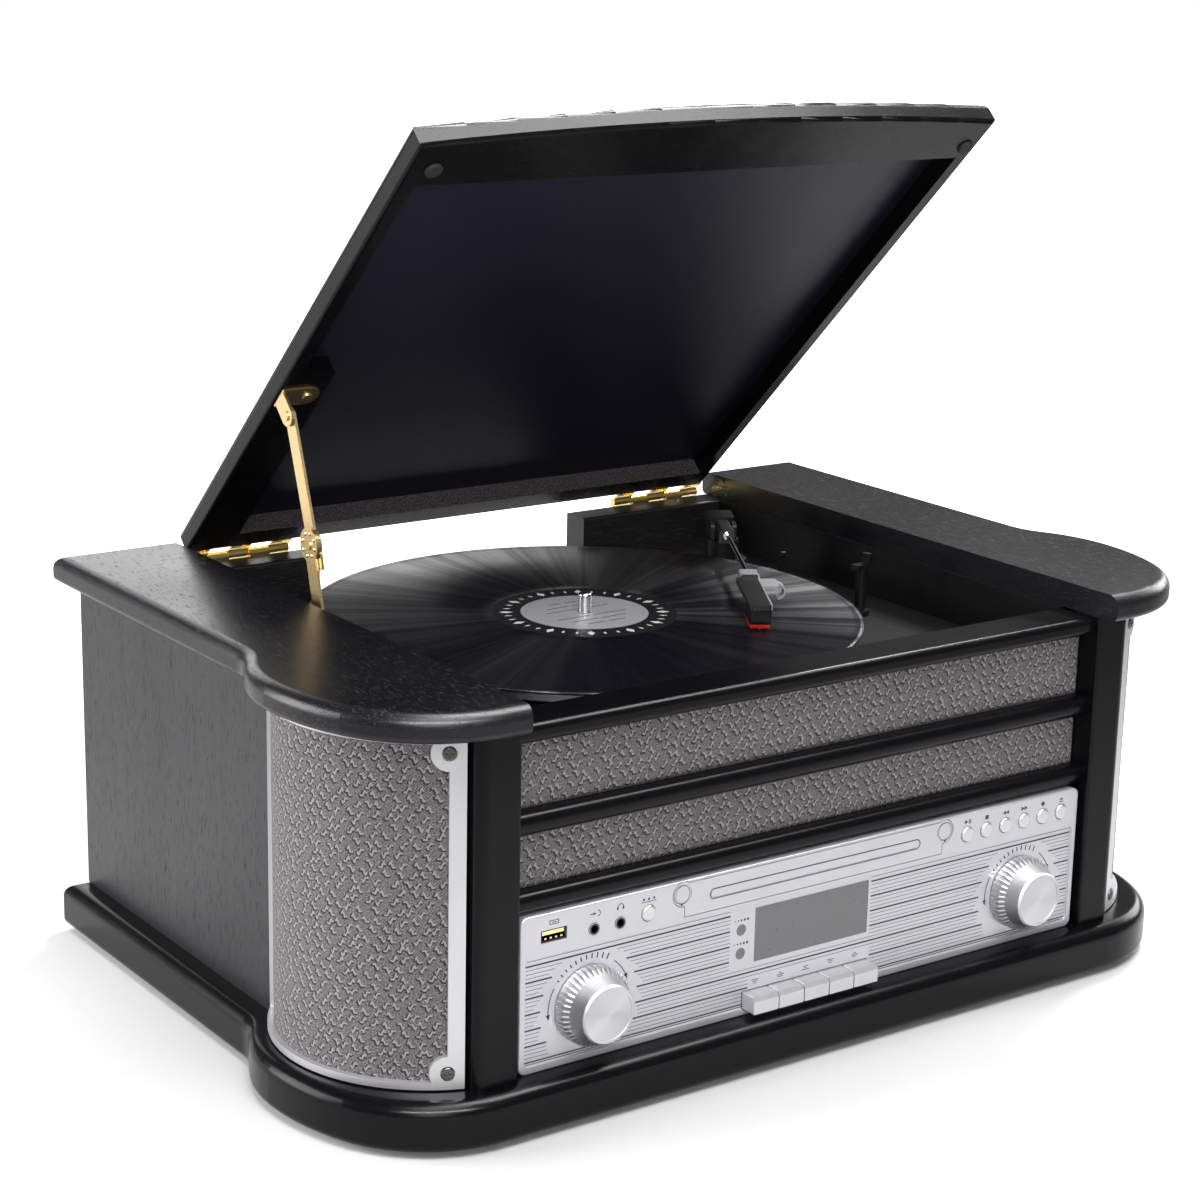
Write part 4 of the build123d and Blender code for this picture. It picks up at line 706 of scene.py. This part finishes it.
def control_icons(ink):
    """Plain pictograms above the buttons, sockets and keys in place of captions."""
    top = Print(PANEL_Y)
    up = ICON_RISE
    half = ICON_SIZE / 2
    buttons = [middle("button_" + name) for name in ("play", "stop", "back", "forward", "record", "eject")]
    play, stop, back, forward, record, eject = buttons
    play_icon(top, play.x - 0.9 * MM, play.z + up)
    for step in (1.0, 2.0):
        x = play.x + step * MM
        top.bar(x, play.z + up - half, x, play.z + up + half, 0.55 * MM)
    corners = ((-1, -1), (1, -1), (1, 1), (-1, 1))
    top.shape([(stop.x + dx * half, stop.z + up + dz * half) for dx, dz in corners])
    for offset in (-1.1, 1.1):
        play_icon(top, back.x + offset * MM, back.z + up, -1)
        play_icon(top, forward.x + offset * MM, forward.z + up)
    top.dot(record.x, record.z + up, half * 1.1)
    wide = half * 1.2
    sill = eject.z + up - 0.2 * MM
    top.shape([(eject.x - wide, sill), (eject.x + wide, sill), (eject.x, eject.z + up + half)])
    top.bar(eject.x - wide, eject.z + up - half, eject.x + wide, eject.z + up - half, 0.5 * MM)
    function = middle("button_function")
    for offset in (-3.0, 0.0, 3.0):
        top.dot(function.x + offset * MM, function.z + up + 0.4 * MM, 0.65 * MM)
    foot = function.z + up - 1.0 * MM
    top.bar(function.x - 4.4 * MM, foot, function.x + 4.4 * MM, foot, 0.35 * MM)
    top.arc(PHONES_SOCKET[0] * MM, 100.6 * MM, 1.6 * MM, 0, 180, 0.45 * MM)
    for side in (-1, 1):
        x = (PHONES_SOCKET[0] + side * 1.6) * MM
        top.bar(x, 100.8 * MM, x, 99.3 * MM, 0.95 * MM)
    top.bar(-140.2 * MM, 100.3 * MM, -137.4 * MM, 100.3 * MM, 0.5 * MM)
    top.arrow(-136.3 * MM, 100.3 * MM, 0, 1.8 * MM)
    top.arc(-135.9 * MM, 100.3 * MM, 1.6 * MM, -80, 80, 0.45 * MM)
    for x0, z0, x1, z1 in PLUG_STROKES:
        top.bar(x0 * MM, z0 * MM, x1 * MM, z1 * MM, 0.4 * MM)
    top.piece("upper_icons", ink, "cabinet", "silver_plastic")
    low = Print(LENS_Y)
    for index, name in enumerate(("menu", "info", "scan", "preset", "enter")):
        x = middle("key_" + name).x
        z = 43.2 * MM
        for bar in range(3):
            reach = (0.9 + 0.7 * ((index + bar) % 3)) * MM
            height = z + (bar - 1) * 0.95 * MM
            low.bar(x - reach, height, x + reach, height, 0.38 * MM)
    for z in (77.6, 65.2):
        for step in range(5):
            low.dot((-52.0 + 2.0 * step) * MM, z * MM, (0.35 + 0.09 * step) * MM)
    low.piece("lower_icons", ink, "cabinet", "silver_plastic")


def upright(x0, z0, x1, z1, y):
    """Corners of an upright rectangle that faces the front."""
    return [(x0, y, z0), (x1, y, z0), (x1, y, z1), (x0, y, z1)]


def socket_details(gold, dark, rim):
    """Contacts in the plug opening, rims in the round sockets, and the outlines on the drawer."""
    x0, x1 = -166.6 * MM, -154.4 * MM
    tongue = Sheaf()
    y = PANEL_Y + 0.9 * MM
    tongue.prism(upright(x0, 95.0 * MM, x1, 96.9 * MM, y), (0, 1.4 * MM, 0))
    for step in range(4):
        x = x0 + (1.6 + 3.0 * step) * MM
        tongue.prism(upright(x, 92.3 * MM, x + 1.1 * MM, 93.3 * MM, y + 0.4 * MM), (0, 1.0 * MM, 0))
    tongue.piece("plug_contacts", gold, "cabinet", "brass")
    rings = Print(PANEL_Y - 0.30 * MM)
    for x, z in (LINE_SOCKET, PHONES_SOCKET):
        rings.arc(x * MM, z * MM, 2.95 * MM, 0, 360, 0.5 * MM, 40)
    rings.piece("socket_rims", rim, "cabinet", "steel")
    seams = Print(PANEL_Y)
    drawer_low, drawer_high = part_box("cd_drawer")
    for x in (drawer_low.x + 5.2 * MM, drawer_high.x - 5.2 * MM):
        seams.arc(x, 99.2 * MM, 4.7 * MM, 0, 360, 0.32 * MM, 40)
        seams.dot(x, 93.9 * MM, 0.6 * MM)
    middle_z = (drawer_low.z + drawer_high.z) / 2 - 0.6 * MM
    for rise in (-1, 1):
        z = middle_z + rise * SLOT_R
        seams.bar(SLOT_X - SLOT_HALF, z, SLOT_X + SLOT_HALF, z, 0.42 * MM)
    for side, start in ((-1, 90), (1, -90)):
        seams.arc(SLOT_X + side * SLOT_HALF, middle_z, SLOT_R, start, start + 180, 0.42 * MM)
    seams.piece("drawer_ear_rings", dark, "cd_drawer", "silver_plastic")


# ------------------------------------------------------------------ cloth
CLOTH_T = 0.6 * MM
LOWER_CLOTH = (117.0 * MM, 144.2 * MM)
UPPER_CLOTH_FOOT = 156.0 * MM


def cloth_sheet(name, points, columns, rows, shader):
    """A stretched sheet from a grid of (place, u, v), with its stitches laid out in metres."""
    mesh = bpy.data.meshes.new(name)
    faces = []
    for row in range(rows - 1):
        for column in range(columns - 1):
            a = row * columns + column
            faces.append((a, a + 1, a + columns + 1, a + columns))
    mesh.from_pydata([tuple(p[0]) for p in points], [], faces)
    layer = mesh.uv_layers.new(name="weave")
    for loop in mesh.loops:
        layer.data[loop.index].uv = points[loop.vertex_index][1:]
    mesh.materials.append(shader.mat)
    for polygon in mesh.polygons:
        polygon.use_smooth = True
    piece = bpy.data.objects.new(name, mesh)
    bpy.context.scene.collection.objects.link(piece)
    thick = piece.modifiers.new("cloth_thickness", "SOLIDIFY")
    thick.thickness = CLOTH_T
    thick.offset = 0.0
    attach(piece, "cabinet")
    return piece


def slack(u, v):
    """Tiny unevenness of stretched cloth, in metres."""
    return 0.10 * MM * math.sin(u * 61.0) * math.sin(v * 47.0 + 1.3)


def pod_cloths(shader):
    """Cloth of both speaker pods, wrapped on the round grille."""
    low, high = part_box("grille_cloths")
    height = high.z - low.z
    arc = (POD_ANGLES[1] - POD_ANGLES[0]) * POD_CLOTH_R
    columns, rows = 120, 130
    for side in (-1, 1):
        points = []
        for row in range(rows):
            v = height * row / (rows - 1)
            for column in range(columns):
                share = column / (columns - 1)
                a = POD_ANGLES[0] + (POD_ANGLES[1] - POD_ANGLES[0]) * share
                r = POD_CLOTH_R - 0.5 * MM + slack(share * arc, v)
                x = POD_CENTRE.x + r * math.cos(a)
                y = POD_CENTRE.y + r * math.sin(a)
                points.append(((-side * x, y, low.z + v), share * arc, v))
        name = "pod_cloth_left" if side < 0 else "pod_cloth_right"
        piece = cloth_sheet(name, points, columns, rows, shader)
    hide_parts("grille_cloths")


def front_cloths(shader):
    """Two cloth strips between the front rails."""
    low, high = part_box("front_cloth")
    strips = ((*LOWER_CLOTH, "lower"), (UPPER_CLOTH_FOOT, high.z, "upper"))
    columns, rows = 180, 20
    for bottom, top, label in strips:
        points = []
        for row in range(rows):
            v = (top - bottom) * row / (rows - 1)
            for column in range(columns):
                u = (high.x - low.x) * column / (columns - 1)
                y = low.y + 0.4 * MM + slack(u, v)
                points.append(((low.x + u, y, bottom + v), u, bottom + v))
        piece = cloth_sheet("front_cloth_" + label, points, columns, rows, shader)
    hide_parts("front_cloth")


# ------------------------------------------------------------------ record
LABEL_R = 50.0 * MM
INNER_LABEL_R = 34.6 * MM
HOLE_R = 3.68 * MM
ORNAMENT_R = 42.4 * MM
FILM_T = 0.03 * MM
# The grooved band in millimetres: its radii, the width of one ridge, and the quiet rings between tracks.
BAND = (58.0, 146.0)
RIDGE = 0.8
QUIET_RINGS = (70.0, 87.5, 104.0, 121.5)


def record_profile():
    """Half section of the record: hole, label seat, grooved tracks with smooth gaps, raised rim."""
    top = RECORD_HIGH.z
    low = RECORD_LOW.z
    profile = [(HOLE_R, low + 0.2 * MM), (HOLE_R, top - 0.10 * MM), (LABEL_R, top - 0.10 * MM),
               (LABEL_R + 0.3 * MM, top - 0.18 * MM), (57.5 * MM, top - 0.24 * MM)]
    radius = BAND[0]
    while radius < BAND[1]:
        quiet = any(abs(radius - ring) < 1.1 for ring in QUIET_RINGS)
        depth = 0.25 if quiet else (0.235 if int(radius / RIDGE) % 2 else 0.245)
        profile.append((radius * MM, top - depth * MM))
        radius += RIDGE
    edge = RECORD_R
    profile += [(146.8 * MM, top - 0.24 * MM), (148.2 * MM, top - 0.02 * MM),
                (edge - 0.5 * MM, top - 0.12 * MM), (edge, top - 0.8 * MM),
                (edge - 0.3 * MM, low + 0.3 * MM), (edge - 1.0 * MM, low + 0.02 * MM),
                (LABEL_R, low + 0.05 * MM), (HOLE_R + 0.2 * MM, low + 0.02 * MM)]
    return profile


def label_ring(inner, outer, top):
    """Section of one thin printed layer of the label."""
    return [(inner, top), (outer, top), (outer, top + FILM_T), (inner, top + FILM_T)]


def record_disc(look, band, centre_look, ink, pale):
    """Grooved record and its label: black band with lozenges, grey centre with bars."""
    disc = Sheaf()
    disc.lathe(record_profile(), SPINDLE, 256)
    piece = disc.piece("record_pressing", look, "platter", "vinyl", True)
    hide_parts("record")
    top = RECORD_HIGH.z - 0.10 * MM
    outer = Sheaf()
    outer.lathe(label_ring(INNER_LABEL_R, LABEL_R, top), SPINDLE, 128)
    outer.piece("label_band", band, "platter", "vinyl")
    inner = Sheaf()
    inner.lathe(label_ring(HOLE_R, INNER_LABEL_R, top), SPINDLE, 128)
    inner.piece("label_centre", centre_look, "platter", "silver_trim")
    face = top + FILM_T
    light = Sheaf()
    for mark in range(36):
        a = math.radians(mark * 10.0)
        long = mark % 3 == 0
        reach = (3.9 if long else 2.3) * MM
        wide = (2.1 if long else 0.8) * MM
        axis = Vector((math.cos(a), math.sin(a), 0))
        across = Vector((-math.sin(a), math.cos(a), 0))
        at = Vector((SPINDLE.x, SPINDLE.y, face)) + axis * ORNAMENT_R
        lozenge = [at + axis * reach, at + across * wide, at - axis * reach, at - across * wide]
        light.prism(lozenge, (0, 0, FILM_T))
    light.piece("label_ornament", pale, "platter", "silver_trim")
    lines = Sheaf()
    for row, reach in enumerate((9, 15, 20, 0, 22, 17, 12)):
        y = SPINDLE.y + (21.0 - row * 7.0) * MM
        for side in (-1, 1):
            near = 7.5 * MM if abs(row - 3) < 1 else 1.2 * MM
            far = reach * MM
            if far > near:
                x0, x1 = SPINDLE.x + side * near, SPINDLE.x + side * far
                y0, y1 = y - 0.4 * MM, y + 0.4 * MM
                lines.prism([(x0, y0, face), (x1, y0, face), (x1, y1, face), (x0, y1, face)], (0, 0, FILM_T))
    lines.piece("label_lines", ink, "platter", "vinyl")


# ------------------------------------------------------------------ small metalwork
def dome(sheaf, centre, outward, radius, height, sides=16, rings=4):
    """A low rivet dome on a face that looks along outward."""
    out = Vector(outward).normalized()
    first = out.orthogonal().normalized()
    second = out.cross(first)
    start = len(sheaf.verts)
    for ring in range(rings):
        a = math.pi / 2 * ring / rings
        for i in range(sides):
            t = 2 * math.pi * i / sides
            off = (first * math.cos(t) + second * math.sin(t)) * radius * math.cos(a)
            sheaf.verts.append(Vector(centre) + off + out * height * math.sin(a))
    sheaf.verts.append(Vector(centre) + out * height)
    crown = len(sheaf.verts) - 1
    sheaf.faces.append(tuple(range(start, start + sides)))
    for ring in range(rings - 1):
        for i in range(sides):
            j = (i + 1) % sides
            a = start + ring * sides
            sheaf.faces.append((a + i, a + j, a + sides + j, a + sides + i))
    last = start + (rings - 1) * sides
    for i in range(sides):
        sheaf.faces.append((last + i, last + (i + 1) % sides, crown))


def stay_studs(shader):
    """Ring of pressed studs on the friction disc at the stay's knee."""
    low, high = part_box("stay_lower_link")
    disc_r = 8.8 * MM
    knee = Vector((low.x + 0.8 * MM, high.y - disc_r, high.z - disc_r))
    studs = Sheaf()
    for step in range(8):
        a = math.radians(step * 45 + 12)
        centre = (knee.x, knee.y + 6.1 * MM * math.cos(a), knee.z + 6.1 * MM * math.sin(a))
        dome(studs, centre, (-1, 0, 0), 1.15 * MM, 0.6 * MM)
    studs.piece("stay_disc_studs", shader, "stay_lower", "brass", True)


# ------------------------------------------------------------------ stage
def softbox(name, place, target, size, power, glossy_only=False):
    """A rectangular area light aimed at a point, which may draw highlights alone."""
    light = bpy.data.lights.new(name, "AREA")
    light.shape = "RECTANGLE"
    light.size, light.size_y = size
    light.energy = power
    lamp = bpy.data.objects.new(name, light)
    lamp.location = place
    lamp.visible_diffuse = not glossy_only
    lamp.rotation_euler = (Vector(target) - Vector(place)).to_track_quat("-Z", "Y").to_euler()
    bpy.context.scene.collection.objects.link(lamp)


def paper_floor():
    """Pale floor that turns into glowing white away from the object."""
    s = Shader("floor_paper", Roughness=0.8)
    tooth = s.noise(s.spread(s.place(), 300.0), 2.0)
    s.colour(s.tint(tooth, (0.92, 0.92, 0.92), (0.95, 0.95, 0.95)))
    flat = s.vector("MULTIPLY", s.place(), (1.0, 1.0, 0.0))
    far = s.span(s.vector("LENGTH", flat), 0.30, 1.15)
    glow = s.node("ShaderNodeEmission")
    seen = s.node("ShaderNodeLightPath").outputs["Is Camera Ray"]
    strength = s.span(s.split(flat)[1], -0.1, 0.9, 0.95, 2.6)
    s.feed(glow.inputs["Strength"], s.sum("MULTIPLY", strength, s.sum("MULTIPLY_ADD", seen, 0.55, 0.45)))
    mix = s.node("ShaderNodeMixShader")
    s.feed(mix.inputs[0], far)
    s.tree.links.new(s.bsdf.outputs[0], mix.inputs[1])
    s.tree.links.new(glow.outputs[0], mix.inputs[2])
    s.tree.links.new(mix.outputs[0], s.tree.nodes["Material Output"].inputs["Surface"])
    mesh = bpy.data.meshes.new("floor")
    mesh.from_pydata([(-6, -6, 0), (6, -6, 0), (6, 6, 0), (-6, 6, 0)], [], [(0, 1, 2, 3)])
    mesh.materials.append(s.mat)
    floor = bpy.data.objects.new("floor", mesh)
    bpy.context.scene.collection.objects.link(floor)


def surroundings():
    """White to the camera, and a dim grey for all other rays."""
    world = bpy.data.worlds.new("studio")
    bpy.context.scene.world = world
    world.use_nodes = True
    tree = world.node_tree
    backdrop = tree.nodes["Background"]
    backdrop.inputs["Color"].default_value = (1, 1, 1, 1)
    backdrop.inputs["Strength"].default_value = 1.0
    around = tree.nodes.new("ShaderNodeBackground")
    around.inputs["Color"].default_value = (1, 1, 1, 1)
    around.inputs["Strength"].default_value = 0.16
    path = tree.nodes.new("ShaderNodeLightPath")
    choose = tree.nodes.new("ShaderNodeMixShader")
    tree.links.new(path.outputs["Is Camera Ray"], choose.inputs[0])
    tree.links.new(around.outputs[0], choose.inputs[1])
    tree.links.new(backdrop.outputs[0], choose.inputs[2])
    tree.links.new(choose.outputs[0], tree.nodes["World Output"].inputs["Surface"])


def lights():
    """Softboxes round the object, three of which only draw highlights."""
    softbox("back_left", (-2.2, 1.3, 0.8), (-0.1, 0, 0.15), (1.6, 1.5), 70)
    softbox("back_right", (2.8, 0.6, 1.1), (0, 0, 0.2), (1.4, 1.1), 40)
    softbox("top_front", (-0.4, -1.0, 2.2), (0, 0, 0.1), (1.3, 0.9), 34)
    softbox("front_left", (-1.3, -2.2, 0.9), (0, 0, 0.1), (1.0, 0.8), 16)
    softbox("right_high", (1.5, 0.75, 2.1), (0, 0, 0.25), (0.7, 0.7), 45)
    softbox("overhead_sheen", (0.6, -0.3, 2.3), (0, 0, 0.1), (1.2, 1.6), 110, glossy_only=True)
    softbox("rear_sheen", (0.25, 1.5, 0.72), (-0.1, 0, 0.2), (1.1, 0.8), 7, glossy_only=True)
    softbox("front_sheen", (-0.9, -1.9, 1.7), (0, 0, 0.1), (2.2, 0.25), 110, glossy_only=True)
    bpy.context.scene.view_settings.view_transform = "Standard"


CAMERA_PLACE = (-0.8212, -1.1239, 0.5664)
CAMERA_ANGLES = (35.44, 14.9, 1.24)
CAMERA_LENS = 80.29
SENSOR_WIDTH = 36.0


def camera():
    """Camera at the left front, a little above the lid's hinge."""
    yaw, pitch, roll = (math.radians(angle) for angle in CAMERA_ANGLES)
    look = Vector((math.sin(yaw) * math.cos(pitch), math.cos(yaw) * math.cos(pitch), -math.sin(pitch)))
    right = Vector((math.cos(yaw), -math.sin(yaw), 0))
    up = right.cross(look)
    turned_right = right * math.cos(roll) + up * math.sin(roll)
    turned_up = up * math.cos(roll) - right * math.sin(roll)
    data = bpy.data.cameras.new("camera")
    data.lens = CAMERA_LENS
    data.sensor_width = SENSOR_WIDTH
    data.clip_end = 50.0
    cam = bpy.data.objects.new("camera", data)
    turn = Matrix((turned_right, turned_up, -look)).transposed()
    cam.matrix_world = Matrix.Translation(CAMERA_PLACE) @ turn.to_4x4()
    bpy.context.scene.collection.objects.link(cam)
    bpy.context.scene.camera = cam


# ------------------------------------------------------------------ assembly
dress_cad()
INK = flat_ink("printed_ink", (0.020, 0.020, 0.024))
FAINT_INK = flat_ink("printed_ink_fine", (0.06, 0.06, 0.07))
GOLD = metal("contact_gold", (0.92, 0.70, 0.33), 0.2)
RIM = metal("socket_rim", (0.35, 0.35, 0.36), 0.3)
CLOTH = grille_weave("grille_weave")
panel_lines(INK, FAINT_INK)
knob_scales(INK)
control_icons(INK)
socket_details(GOLD, INK, RIM)
pod_cloths(CLOTH)
front_cloths(CLOTH)
record_disc(vinyl(),
            flat_ink("label_black", (0.008, 0.008, 0.009), 0.3),
            flat_ink("label_grey", (0.30, 0.30, 0.315), 0.42),
            INK,
            flat_ink("label_white", (0.62, 0.62, 0.62), 0.4))
stay_studs(metal("stud_brass", (0.84, 0.66, 0.38), 0.24, tarnish=0.1))
paper_floor()
surroundings()
lights()
camera()
